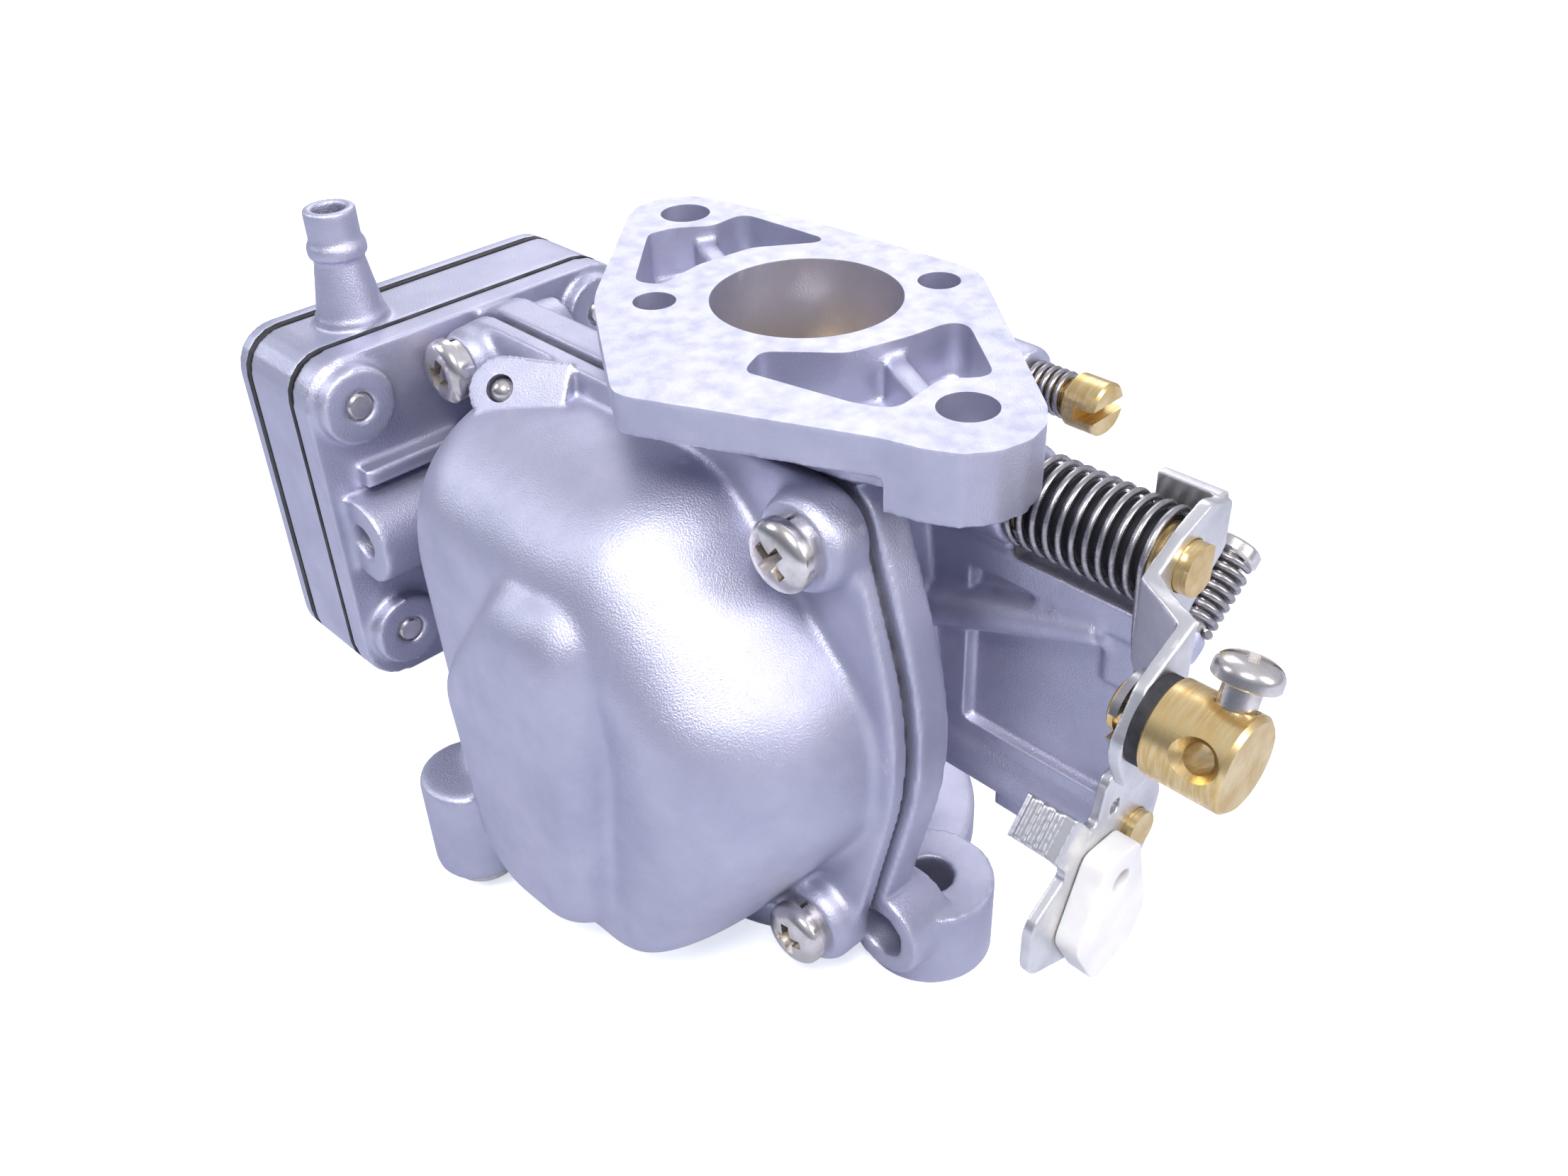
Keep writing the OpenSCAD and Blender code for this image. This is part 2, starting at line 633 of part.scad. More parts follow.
// Lever: a flat blank in (y, z), joggled outward between the shaft and the barrel
module throttle_lever() {
    blank = [[-1.7, -9.6, 1.5], [3.2, -7.8, 2], [7.4, -9.2, 0.6], [7.4, -15.2, 1.5], [2.4, -20, 3],
        [-0.4, -24, 3], [-0.4, -31, 1.2], [-3.6, -31, 1.2], [-3.6, -21.5, 1], [-5.4, -20.6, 1],
        [-9.6, -29.8, 4], [-17.2, -31, 3.4], [-20.4, -23.6, 4], [-16.4, -17.4, 3], [-8.6, -13.2, 3],
        [-6.6, -12.8, 2]];
    color(steel) difference() {
        union() {
            intersection() {
                slab_x(lever_x - 1, lever_out_x + lever_t + 1) polygon(rounded(blank));
                translate([0, 0, -40]) linear_extrude(40) polygon([[lever_x, 12], [lever_x + lever_t, 12],
                    [lever_x + lever_t, -5.6], [lever_out_x + lever_t, -8.6], [lever_out_x + lever_t, -30],
                    [lever_out_x, -30], [lever_out_x, -9.7], [lever_x, -6.7]]);
            }
            block([47.4, lever_x + 1], [5.9, 7.4], [-14, -8.4]);
        }
        along_x(50, 60, [0, throttle_z], 3 + 0.02);
        along_x(57, 66, barrel_at, 3);
    }
}

// Return spring: coil about the shaft with a tail that bears on the lever
module spring_sleeve() {
    color("black") difference() {
        along_x(spring_x[0] + 0.4, spring_x[1] - 0.6, [0, throttle_z], 4.6);
        along_x(spring_x[0], spring_x[1], [0, throttle_z], shaft_r + run_gap);
    }
}

module throttle_return_spring() {
    turns = coil(return_turns, spring_r, spring_x[1] - spring_x[0], 14, 90);
    path = concat([for (p = turns) [spring_x[0] + p.z, -p.y, throttle_z + p.x]],
        [[spring_x[1] + 0.1, -spring_r, throttle_z - 2.5], [spring_x[1] + 0.2, -5.1, throttle_z - 8],
        [spring_x[1] + 1.1, -4.2, throttle_z - 15]]);
    color(dark_steel) wire(path, return_wire_r, [1, 0, 0]);
}

// Turns the cable hole up towards the front about the barrel's own axis
module leaned() {
    translate([0, barrel_at[0], barrel_at[1]]) rotate([-barrel_lean, 0, 0])
        translate([0, -barrel_at[0], -barrel_at[1]]) children();
}

module cable_barrel() {
    color(brass) leaned() difference() {
        union() {
            along_x(barrel_x[0], barrel_x[1], barrel_at, barrel_r);
            along_x(58.8, barrel_x[0] + 1, barrel_at, 2.95);
        }
        along_y(-24, -6, [cable_x, barrel_at[1]], cable_r);
        for (s = [-1, 1]) translate([cable_x, barrel_at[0] + s * (barrel_r - 0.6), barrel_at[1]])
            rotate([s * -90, 0, 0]) cylinder(h = 1.2, r1 = cable_r, r2 = cable_r + 1.2);
        along_z(barrel_at[1] + cable_r - 0.2, -10, [cable_x, barrel_at[0]], 2.05);
        difference() {
            along_x(59.7, 60.8, barrel_at, 4);
            along_x(59, 61, barrel_at, 2.45);
        }
    }
}

module barrel_washer() {
    color(paper) difference() {
        along_x(lever_out_x + lever_t + 0.05, barrel_x[0], barrel_at, 5);
        along_x(60, 66, barrel_at, 3);
    }
}

module barrel_clip() {
    color(dark_steel) difference() {
        along_x(59.8, 60.7, barrel_at, 4.3);
        along_x(59, 62, barrel_at, 2.5);
        block([59, 62], [-18.9, barrel_at[0]], [barrel_at[1] - 1.5, barrel_at[1] + 1.5]);
    }
}

module cable_clamp_screw() {
    color(steel) leaned() translate([cable_x, barrel_at[0], -14.4]) pan_screw(2, 5.6, 3.5, 2.6);
}

// ---- adjusting screws ----

module slotted_head(r, h) {
    difference() {
        cylinder(h = h, r = r);
        translate([-r - 1, -0.45, h - 1.6]) cube([2 * r + 2, 0.9, 3]);
    }
}

module idle_stop_screw() {
    color(steel) idle_axis() {
        slotted_head(3.2, 1.8);
        translate([0, 0, -idle_tip + 1.2]) cylinder(h = idle_tip - 1.2 + eps, r = 2);
        translate([0, 0, -idle_tip]) cylinder(h = 1.2 + eps, r1 = 0.8, r2 = 2);
    }
}

module idle_stop_spring() {
    color(dark_steel) idle_axis() translate([0, 0, -idle_spring_l + 0.45])
        wire(coil(idle_turns, 2.75, idle_spring_l - 0.95, 12), 0.42, [0, 0, 1]);
}

module pilot_axis() {
    translate([0, pilot_at[0], pilot_at[1]]) rotate([0, 90, 0]) children();
}

module pilot_screw() {
    color(brass) pilot_axis() {
        translate([0, 0, pilot_head_x]) rotate([0, 0, 25]) slotted_head(3.25, pilot_end_x - pilot_head_x);
        translate([0, 0, 12]) cylinder(h = pilot_head_x - 12 + eps, r = 1.9);
        translate([0, 0, 9]) cylinder(h = 3 + eps, r1 = 0.5, r2 = 1.9);
    }
}

module pilot_screw_spring() {
    color(dark_steel) pilot_axis() translate([0, 0, pilot_boss_x + 0.45])
        wire(coil(pilot_turns, 2.45, pilot_head_x - pilot_boss_x - 0.95, 12), 0.4, [0, 0, 1]);
}

// ---- choke ----

module choke_shaft() {
    color(brass) difference() {
        union() {
            along_x(-23, choke_lever_x - 0.02, [0, choke_z], shaft_r);
            along_x(choke_lever_x - 1, choke_lever_x + choke_lever_t + 1.2, [0, choke_z], 2.6);
        }
        disc_slot(choke_z, 90, 1.26, choke_bore_r);
        disc_screws_at(choke_z, 90) translate([0, 0, -6]) cylinder(h = 12, r = 1.55);
    }
}

// Choke disc: an oval that closes the throat after turning by choke_swing
module choke_plate() {
    color(brass) translate([0, 0, choke_z]) difference() {
        rotate([-choke_swing, 0, 0]) intersection() {
            rotate([choke_swing - 90, 0, 0]) cube([40, 40, 1.2], center = true);
            cylinder(h = 20, r = choke_bore_r - 0.1, center = true);
        }
        disc_screws_at(0, 90) translate([0, 0, -6]) cylinder(h = 12, r = 1.55);
    }
}

module choke_plate_screws() {
    color(steel) disc_screws_at(choke_z, 90) translate([0, 0, shaft_r]) pan_screw(1.5, 7.6, 2.6, 1.2);
}

module choke_lever() {
    blank = [[-6.6, -40.8, 2], [-1.4, -40.8, 2], [5.6, -50, 3.5], [3.6, -59, 4], [-9, -68, 4],
        [-19.4, -64, 3], [-19.4, -56, 3], [-13, -51.6, 1.2], [-15.4, -48.4, 0.5], [-11.6, -44, 0.5],
        [-8.2, -48.4, 1]];
    color(steel) difference() {
        union() {
            slab_x(choke_lever_x, choke_lever_x + choke_lever_t) polygon(rounded(blank));
            // serrated thumb tab folded towards the body
            translate([46.8, -12.9, -46.7]) rotate([50, 0, 0]) {
                translate([0, -2.8, 0]) cube([7, 5.6, 1.3]);
                for (k = [0 : 2]) translate([0.9 + k * 1.7, -2.6, 1.2]) cube([0.9, 5.2, 0.5]);
            }
        }
        along_x(50, 58, [0, choke_z], 2.62);
        along_x(50, 58, [-4.6, -46.5], 1);
        along_x(50, 58, clip_pivot, 2.45);
    }
}

// Nylon rod clip: snaps into the lever and swings over the choke rod
module choke_rod_clip() {
    out_x = choke_lever_x + choke_lever_t + 0.05;
    blank = [[-10.5, -50, 2], [-3.8, -50.2, 1.5], [-0.6, -63, 3],
        [-3, -67.6, 2.5], [-10.5, -69.4, 2.5], [-15, -61, 3]];
    color("ivory") difference() {
        union() {
            slab_x(out_x, out_x + 3.4) polygon(rounded(blank));
            along_x(choke_lever_x - 1.8, out_x + 1, clip_pivot, 2.4);
            along_x(choke_lever_x - 1.8, choke_lever_x - 0.1, clip_pivot, 3.6);
        }
        along_x(50, 60, [-7, -54.6], 1.6);
    }
}

// ---- fuel metering ----

module main_nozzle() {
    color(brass) difference() {
        along_y(-33.6, -5, [0, nozzle_z], 2.45);
        along_y(-40, 0, [0, nozzle_z], 1.1);
    }
}

module main_jet() {
    color(brass) difference() {
        union() {
            along_y(-36.8, -33.7, [0, nozzle_z], 2.45);
            along_y(-38.4, -36.05, [0, nozzle_z], 3.4);
        }
        along_y(-40, -30, [0, nozzle_z], 0.6);
        block([-4, 4], [-40, -37.6], [nozzle_z - 0.4, nozzle_z + 0.4]);
    }
}

module pilot_jet() {
    color(brass) difference() {
        union() {
            along_y(-26.3, -19, [0, pilot_jet_z], 1.55);
            along_y(-27.6, -26.05, [0, pilot_jet_z], 2.2);
        }
        along_y(-40, -10, [0, pilot_jet_z], 0.4);
    }
}

module needle_seat() {
    color(brass) difference() {
        along_y(-18.6, -15.3, [0, needle_z], 2.55);
        along_y(-30, -16.6, [0, needle_z], 1.7 + run_gap);
        along_y(-30, -10, [0, needle_z], 0.9);
    }
}

module needle_valve() {
    color(steel) {
        along_y(-23.15, -17.7, [0, needle_z], 1.7);
        translate([0, -17.7 - eps, needle_z]) rotate([-90, 0, 0]) cylinder(h = 0.95, r1 = 1.7, r2 = 0.5);
    }
}

module float() {
    color("black") difference() {
        along_y(float_y[0], float_y[1], [0, float_z], float_r);
        along_y(-40, -10, [0, float_z], float_hole_r);
    }
}

module float_arm() {
    color(brass) difference() {
        union() {
            slab_y(-23.85, -23.2) polygon(rounded([
                [-14, -48, 2], [-17, -50, 1], [-12, -58.4, 2], [-7, -60, 2],
                [-6, -72, 1], [6, -72, 1], [7, -60, 2], [12, -58.4, 2],
                [17, -50, 1], [14, -48, 2], [9.6, -54.6, 2], [-9.6, -54.6, 2]], 3));
            for (s = [-1, 1]) block([s * 7.4 - 1.4, s * 7.4 + 1.4], [-23.4, -21.5], [-72.3, -69.7]);
            along_x(-8.8, 8.8, pin_at, 1.5);
        }
        along_x(-10, 10, pin_at, 0.8 + run_gap);
    }
}

module float_pin() {
    color(steel) along_x(-12.2, 12.2, pin_at, 0.8);
}

module passage_plug() {
    color(brass) along_z(-70, -66.2, [-7, 16], 2.45);
}

body();
float_bowl();
bowl_gasket();
bowl_screws();
bowl_screw_washers();
drain_screw();
drain_washer();
vent_ball();
pump_body();
pump_gasket();
pump_valve_sheet();
pump_diaphragm();
pump_cover_gasket();
pump_cover();
pump_screws();
throttle_shaft();
throttle_plate();
throttle_plate_screws();
throttle_lever();
throttle_return_spring();
spring_sleeve();
cable_barrel();
barrel_washer();
barrel_clip();
cable_clamp_screw();
idle_stop_screw();
idle_stop_spring();
pilot_screw();
pilot_screw_spring();
choke_shaft();
choke_plate();
choke_plate_screws();
choke_lever();
choke_rod_clip();
main_nozzle();
main_jet();
pilot_jet();
float();
float_arm();
float_pin();
needle_valve();
needle_seat();
passage_plug();
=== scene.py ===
# %% [markdown]
# # A side-draught carburetor
# The CAD frame already fixes every size, hole and hinge. This lesson gives its parts the
# surfaces that a real one has: sand-cast castings with soft edges, crisp machined faces,
# wound springs, pressed levers, turned brass and domed screws. Each cell makes one piece or
# one finish, and the cell of text before it says why it is made that way.

# %% Load the frame
import json
import math

import bmesh
import bpy
from mathutils import Matrix, Vector


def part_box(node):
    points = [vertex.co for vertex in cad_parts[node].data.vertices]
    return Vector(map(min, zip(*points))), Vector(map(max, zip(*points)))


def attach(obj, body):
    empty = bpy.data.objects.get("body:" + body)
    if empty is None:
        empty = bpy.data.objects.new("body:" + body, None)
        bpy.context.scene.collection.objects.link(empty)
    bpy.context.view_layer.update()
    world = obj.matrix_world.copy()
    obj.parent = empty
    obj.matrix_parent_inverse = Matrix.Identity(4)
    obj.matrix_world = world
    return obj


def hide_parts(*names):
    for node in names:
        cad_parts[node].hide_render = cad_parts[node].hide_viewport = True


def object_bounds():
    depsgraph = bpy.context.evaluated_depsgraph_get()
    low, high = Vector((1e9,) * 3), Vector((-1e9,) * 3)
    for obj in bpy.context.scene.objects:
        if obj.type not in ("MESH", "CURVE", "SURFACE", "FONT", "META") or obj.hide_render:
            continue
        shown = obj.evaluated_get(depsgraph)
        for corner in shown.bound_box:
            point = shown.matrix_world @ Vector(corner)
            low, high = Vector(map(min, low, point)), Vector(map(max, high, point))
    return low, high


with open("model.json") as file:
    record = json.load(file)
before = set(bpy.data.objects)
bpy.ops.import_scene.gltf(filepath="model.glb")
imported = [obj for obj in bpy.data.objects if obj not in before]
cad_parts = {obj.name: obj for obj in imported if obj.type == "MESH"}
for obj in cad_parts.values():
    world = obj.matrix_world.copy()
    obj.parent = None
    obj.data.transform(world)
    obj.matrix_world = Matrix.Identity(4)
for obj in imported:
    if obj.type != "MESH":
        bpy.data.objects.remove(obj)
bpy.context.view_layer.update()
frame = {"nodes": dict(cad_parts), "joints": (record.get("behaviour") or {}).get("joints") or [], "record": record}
nodes = frame["nodes"]
MM = 0.001

# %% [markdown]
# ## Camera
# The carburetor lies on its air flange. The camera stands in front and to the right, a hand's
# length away, so perspective is strong: near screws look larger than far ones. Its place is
# given as a direction from the throat's centre, a distance, and a small roll of the hand.

# %% Camera
AZIMUTH, ELEVATION, ROLL = math.radians(47.1), math.radians(34.96), math.radians(-2.31)
DISTANCE, SIDESTEP, DROP = 0.17414, -0.0042, -0.03557

outward = Vector((math.sin(AZIMUTH) * math.cos(ELEVATION), -math.cos(AZIMUTH) * math.cos(ELEVATION),
                  math.sin(ELEVATION)))
level_right = Vector((math.cos(AZIMUTH), math.sin(AZIMUTH), 0))
level_up = outward.cross(level_right)
camera_right = math.cos(ROLL) * level_right + math.sin(ROLL) * level_up
camera_up = outward.cross(camera_right)

camera = bpy.data.objects.new("camera", bpy.data.cameras.new("camera"))
camera.data.sensor_width = 36
camera.data.lens = 32.68
camera.data.clip_start = 0.01
place = outward * DISTANCE + level_right * SIDESTEP + level_up * DROP
camera.matrix_world = Matrix((
    (camera_right.x, camera_up.x, outward.x, place.x),
    (camera_right.y, camera_up.y, outward.y, place.y),
    (camera_right.z, camera_up.z, outward.z, place.z),
    (0, 0, 0, 1)))
bpy.context.scene.collection.objects.link(camera)
bpy.context.scene.camera = camera
print("camera at", [round(v / MM) for v in place], "mm")

# %% [markdown]
# ## Shader groups
# A casting's grain, rubbed edges and machining lines turn up in several finishes, so each is
# a node group that is built once. A group only gives numbers that change over the surface.
# The shader that turns them into metal stays in each material, with its own values.

# %% Group helpers
def new_group(name, inputs, outputs):
    """An empty shader group with number sockets, and its input and output nodes."""
    tree = bpy.data.node_groups.new(name, "ShaderNodeTree")
    for socket, value in inputs.items():
        made = tree.interface.new_socket(socket, in_out="INPUT", socket_type="NodeSocketFloat")
        made.default_value = value
    for socket in outputs:
        tree.interface.new_socket(socket, in_out="OUTPUT", socket_type="NodeSocketFloat")
    return tree, tree.nodes.new("NodeGroupInput"), tree.nodes.new("NodeGroupOutput")


def noise_in(tree, coordinates, scale, detail, roughness=0.5):
    """A noise texture in a tree, fed by object coordinates; scale is a socket or a number."""
    noise = tree.nodes.new("ShaderNodeTexNoise")
    noise.inputs["Detail"].default_value = detail
    noise.inputs["Roughness"].default_value = roughness
    tree.links.new(coordinates, noise.inputs["Vector"])
    if isinstance(scale, (int, float)):
        noise.inputs["Scale"].default_value = scale
    else:
        tree.links.new(scale, noise.inputs["Scale"])
    return noise.outputs["Fac"]


def spread(tree, value, low, high, to_low=0.0, to_high=1.0):
    """Stretches a stretch of a value onto another, clamped."""
    ramp = tree.nodes.new("ShaderNodeMapRange")
    ramp.inputs["From Min"].default_value = low
    ramp.inputs["From Max"].default_value = high
    ramp.inputs["To Min"].default_value = to_low
    ramp.inputs["To Max"].default_value = to_high
    tree.links.new(value, ramp.inputs["Value"])
    return ramp.outputs["Result"]

# %% [markdown]
# ### Sand grain
# A die or sand casting is covered in fine grains under a millimetre across, with wider cloudy
# patches where the melt cooled unevenly. Two noises of different scale give both.

# %% Sand grain group
grain_group, given, told = new_group(
    "sand_grain", {"Grains per metre": 2600.0, "Patches per metre": 90.0},
    ["Height", "Patch", "Speck"])
coords = grain_group.nodes.new("ShaderNodeTexCoord").outputs["Object"]
fine = noise_in(grain_group, coords, given.outputs["Grains per metre"], 3.0, 0.6)
wide = noise_in(grain_group, coords, given.outputs["Patches per metre"], 4.0, 0.6)
grain_group.links.new(fine, told.inputs["Height"])
grain_group.links.new(spread(grain_group, wide, 0.35, 0.65), told.inputs["Patch"])
grain_group.links.new(spread(grain_group, fine, 0.52, 0.74), told.inputs["Speck"])
print("group:", grain_group.name)

# %% [markdown]
# ### Rubbed edges
# Handling polishes the corners that stand out. Pointiness tells how sharply the mesh turns: it
# is 0.5 where the mesh is flat and more where it turns out. The mask grows between two values,
# and a noise breaks the band up so that the wear isn't even.

# %% Rubbed edge group
EDGE_START, EDGE_FULL = 0.515, 0.56
edge_group, given, told = new_group("rubbed_edge", {"Breakup per metre": 400.0}, ["Mask"])
coords = edge_group.nodes.new("ShaderNodeTexCoord").outputs["Object"]
turn = edge_group.nodes.new("ShaderNodeNewGeometry").outputs["Pointiness"]
patchy = noise_in(edge_group, coords, given.outputs["Breakup per metre"], 3.0)
broken = edge_group.nodes.new("ShaderNodeMath")
broken.operation = "MULTIPLY"
edge_group.links.new(spread(edge_group, turn, EDGE_START, EDGE_FULL), broken.inputs[0])
edge_group.links.new(spread(edge_group, patchy, 0.3, 0.6), broken.inputs[1])
edge_group.links.new(broken.outputs[0], told.inputs["Mask"])
print("group:", edge_group.name)

# %% [markdown]
# ### Tool lines
# A cutter or a belt leaves long thin scratches in one direction. Squeezing the noise along
# two axes and stretching it along the third draws them.

# %% Tool line group
line_group, given, told = new_group(
    "tool_lines", {"Across X": 1.0, "Across Y": 1.0, "Across Z": 1.0, "Lines per metre": 1500.0},
    ["Height", "Streak"])
coords = line_group.nodes.new("ShaderNodeTexCoord").outputs["Object"]
axes = line_group.nodes.new("ShaderNodeCombineXYZ")
for axis in "XYZ":
    line_group.links.new(given.outputs["Across " + axis], axes.inputs[axis])
squeeze = line_group.nodes.new("ShaderNodeVectorMath")
squeeze.operation = "MULTIPLY"
line_group.links.new(coords, squeeze.inputs[0])
line_group.links.new(axes.outputs[0], squeeze.inputs[1])
lines = noise_in(line_group, squeeze.outputs[0], given.outputs["Lines per metre"], 4.0, 0.55)
line_group.links.new(lines, told.inputs["Height"])
line_group.links.new(spread(line_group, lines, 0.35, 0.68), told.inputs["Streak"])
print("group:", line_group.name)

# %% [markdown]
# ## Finishes
# Every finish starts from the same small recipe: a Principled shader, a colour that drifts
# between two tones, a roughness that drifts with it, and a bump. Metals differ in those few
# numbers and in the pattern that drives them.

# %% Finish recipe
finishes = {}


def finish(name, group, values, tones, rough, metallic, bump, drive="Patch", extra=None):
    """A finish: a group's pattern drives colour, roughness and bump of one Principled shader."""
    material = bpy.data.materials.new(name)
    material.use_nodes = True
    tree = material.node_tree
    shader = tree.nodes["Principled BSDF"]
    pattern = tree.nodes.new("ShaderNodeGroup")
    pattern.node_tree = group
    for socket, value in values.items():
        pattern.inputs[socket].default_value = value
    colour = tree.nodes.new("ShaderNodeMix")
    colour.data_type = "RGBA"
    colour.inputs["A"].default_value = (*tones[0], 1)
    colour.inputs["B"].default_value = (*tones[1], 1)
    tree.links.new(pattern.outputs[drive], colour.inputs["Factor"])
    tree.links.new(colour.outputs["Result"], shader.inputs["Base Color"])
    tree.links.new(spread(tree, pattern.outputs[drive], 0, 1, *rough), shader.inputs["Roughness"])
    shader.inputs["Metallic"].default_value = metallic
    relief = tree.nodes.new("ShaderNodeBump")
    relief.inputs["Strength"].default_value = bump[0]
    relief.inputs["Distance"].default_value = bump[1]
    tree.links.new(pattern.outputs["Height"], relief.inputs["Height"])
    tree.links.new(relief.outputs["Normal"], shader.inputs["Normal"])
    for socket, value in (extra or {}).items():
        shader.inputs[socket].default_value = value
    finishes[name] = material


def rub_edges(material, bright, amount):
    """Adds polished edges to a finish: the colour goes to bright where the mesh turns out."""
    tree = material.node_tree
    shader = tree.nodes["Principled BSDF"]
    was = shader.inputs["Base Color"].links[0].from_socket
    rub = tree.nodes.new("ShaderNodeGroup")
    rub.node_tree = edge_group
    part = spread(tree, rub.outputs["Mask"], 0, 1, 0, amount)
    colour = tree.nodes.new("ShaderNodeMix")
    colour.data_type = "RGBA"
    colour.inputs["B"].default_value = (*bright, 1)
    tree.links.new(was, colour.inputs["A"])
    tree.links.new(part, colour.inputs["Factor"])
    tree.links.new(colour.outputs["Result"], shader.inputs["Base Color"])

# %% [markdown]
# ### Castings, machined faces and the throat
# The castings are a cool grey alloy with a faint violet cast. Where a mill has faced the
# flange the metal is almost white. The throat is reamed and then chromated, which leaves a
# golden wall with upright streaks.

# %% Alloy finishes
finish("cast_alloy", grain_group, {"Grains per metre": 4200.0, "Patches per metre": 95.0},
       ((0.50, 0.505, 0.62), (0.58, 0.575, 0.69)), (0.46, 0.38), 0.88, (0.6, 0.00014))
rub_edges(finishes["cast_alloy"], (0.80, 0.80, 0.88), 0.6)
finish("machined_alloy", line_group,
       {"Across X": 1.0, "Across Y": 0.08, "Lines per metre": 900.0},
       ((0.70, 0.70, 0.80), (0.76, 0.76, 0.85)), (0.44, 0.36), 0.75, (0.06, 0.00005), "Streak")
finish("throat_gold", line_group, {"Across Z": 0.03, "Lines per metre": 380.0},
       ((0.50, 0.33, 0.14), (0.96, 0.86, 0.66)), (0.40, 0.28), 0.45, (0.12, 0.0001), "Streak")
print("finishes:", sorted(finishes))

# %% [markdown]
# ### Brass, screws, levers and springs
# Turned brass shows fine lines round its axis, which runs along X on this part. Screws are
# nickel plated and bright, levers are zinc plated and a little milky, and the springs are
# dark wire that only lights up along its crest.

# %% Metal finishes
finish("brass", line_group, {"Across Y": 0.12, "Across Z": 0.12, "Lines per metre": 2600.0},
       ((0.66, 0.46, 0.18), (0.86, 0.68, 0.36)), (0.34, 0.24), 0.95, (0.08, 0.00006), "Streak")
finish("bright_screw", grain_group, {"Grains per metre": 1500.0, "Patches per metre": 350.0},
       ((0.62, 0.58, 0.53), (0.83, 0.80, 0.77)), (0.30, 0.16), 1.0, (0.12, 0.0001))
finish("lever_zinc", grain_group, {"Grains per metre": 1800.0, "Patches per metre": 160.0},
       ((0.60, 0.60, 0.61), (0.80, 0.79, 0.78)), (0.42, 0.28), 0.95, (0.16, 0.0001))
rub_edges(finishes["lever_zinc"], (0.92, 0.91, 0.90), 0.8)
finish("spring_wire", line_group, {"Across X": 0.3, "Across Y": 0.3, "Lines per metre": 2400.0},
       ((0.34, 0.33, 0.34), (0.52, 0.50, 0.50)), (0.36, 0.24), 1.0, (0.10, 0.0001), "Streak")
print("finishes:", sorted(finishes))

# %% [markdown]
# ### Gaskets, rubber, foam and nylon
# The soft materials aren't metals, so their colour is their own and light sinks a little
# way into the nylon, which keeps its shaded side pale.

# %% Soft finishes
finish("gasket_black", grain_group, {"Grains per metre": 3000.0, "Patches per metre": 300.0},
       ((0.012, 0.012, 0.014), (0.04, 0.04, 0.045)), (0.75, 0.6), 0.0, (0.3, 0.0001))
finish("gasket_grey", grain_group, {"Grains per metre": 3000.0, "Patches per metre": 300.0},
       ((0.05, 0.05, 0.06), (0.12, 0.12, 0.14)), (0.75, 0.6), 0.0, (0.3, 0.0001))
finish("diaphragm_rubber", grain_group, {"Grains per metre": 2200.0, "Patches per metre": 200.0},
       ((0.015, 0.015, 0.015), (0.035, 0.033, 0.03)), (0.7, 0.55), 0.0, (0.2, 0.0001))
# The near-black sleeve finish darkens the throttle shaft where it shows inside the return spring.
finish("sleeve_black", grain_group, {"Grains per metre": 1500.0, "Patches per metre": 200.0},
       ((0.008, 0.009, 0.012), (0.02, 0.02, 0.026)), (0.45, 0.35), 0.0, (0.1, 0.0001))
finish("float_foam", grain_group, {"Grains per metre": 1200.0, "Patches per metre": 120.0},
       ((0.01, 0.01, 0.01), (0.03, 0.03, 0.03)), (0.85, 0.7), 0.0, (0.6, 0.0003))
finish("nylon", grain_group, {"Grains per metre": 900.0, "Patches per metre": 120.0},
       ((0.80, 0.79, 0.76), (0.90, 0.89, 0.87)), (0.45, 0.36), 0.0, (0.08, 0.0001),
       extra={"Subsurface Weight": 0.35, "Subsurface Scale": 0.0015})
print("finishes:", sorted(finishes))

# %% [markdown]
# ## Pieces and their frame
# Each new piece says which body carries it, which finishes it shows and which CAD node it
# replaces. One function does that, so that no piece is left behind at a joint.

# %% Piece helper
slot_of = {part["node"]: part["material_slot"] for part in frame["record"]["subparts"]}
bodies = frame["record"]["behaviour"]["bodies"]
body_of = {node: body for body, group in bodies.items() for node in group}


def add_piece(name, mesh, node, *materials):
    """Shows a mesh in place of a CAD node, riding on the node's body, with the given finishes."""
    piece = bpy.data.objects.new(name, mesh)
    bpy.context.scene.collection.objects.link(piece)
    mesh.materials.clear()
    for material in materials:
        mesh.materials.append(finishes[material])
    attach(piece, body_of[node])
    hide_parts(node)
    print(name, len(mesh.polygons), "faces")
    return piece


def applied(mesh, *modifiers):
    """The mesh after a stack of modifiers, each a type and its settings."""
    holder = bpy.data.objects.new("holder", mesh)
    bpy.context.scene.collection.objects.link(holder)
    for kind, settings in modifiers:
        modifier = holder.modifiers.new(kind.lower(), kind)
        for key, value in settings.items():
            setattr(modifier, key, value)
    seen = holder.evaluated_get(bpy.context.evaluated_depsgraph_get())
    made = bpy.data.meshes.new_from_object(seen)
    bpy.data.objects.remove(holder)
    return made

# %% [markdown]
# ## Soft-edged castings
# Every inside and outside corner of a casting is rounded, because sharp corners wear off in
# the mould and crack as the metal cools. Bevelling hundreds of crossing edges fails easily.
# A voxel remesh instead rebuilds the surface from small even quads, and a few rounds of
# smoothing then melt all corners alike. Machined faces are kept crisp the way a workshop does
# it: the casting is made too long there first, and then cut back flat.

# %% Casting helpers
SNAP = 0.3 * MM


def drawn_out(mesh, height, reach, upward):
    """Moves the mesh's flat end at a height outward, so that it can be cut back later."""
    for vertex in mesh.vertices:
        beyond = vertex.co.z > height - SNAP if upward else vertex.co.z < height + SNAP
        if beyond:
            vertex.co.z = height + (reach if upward else -reach)


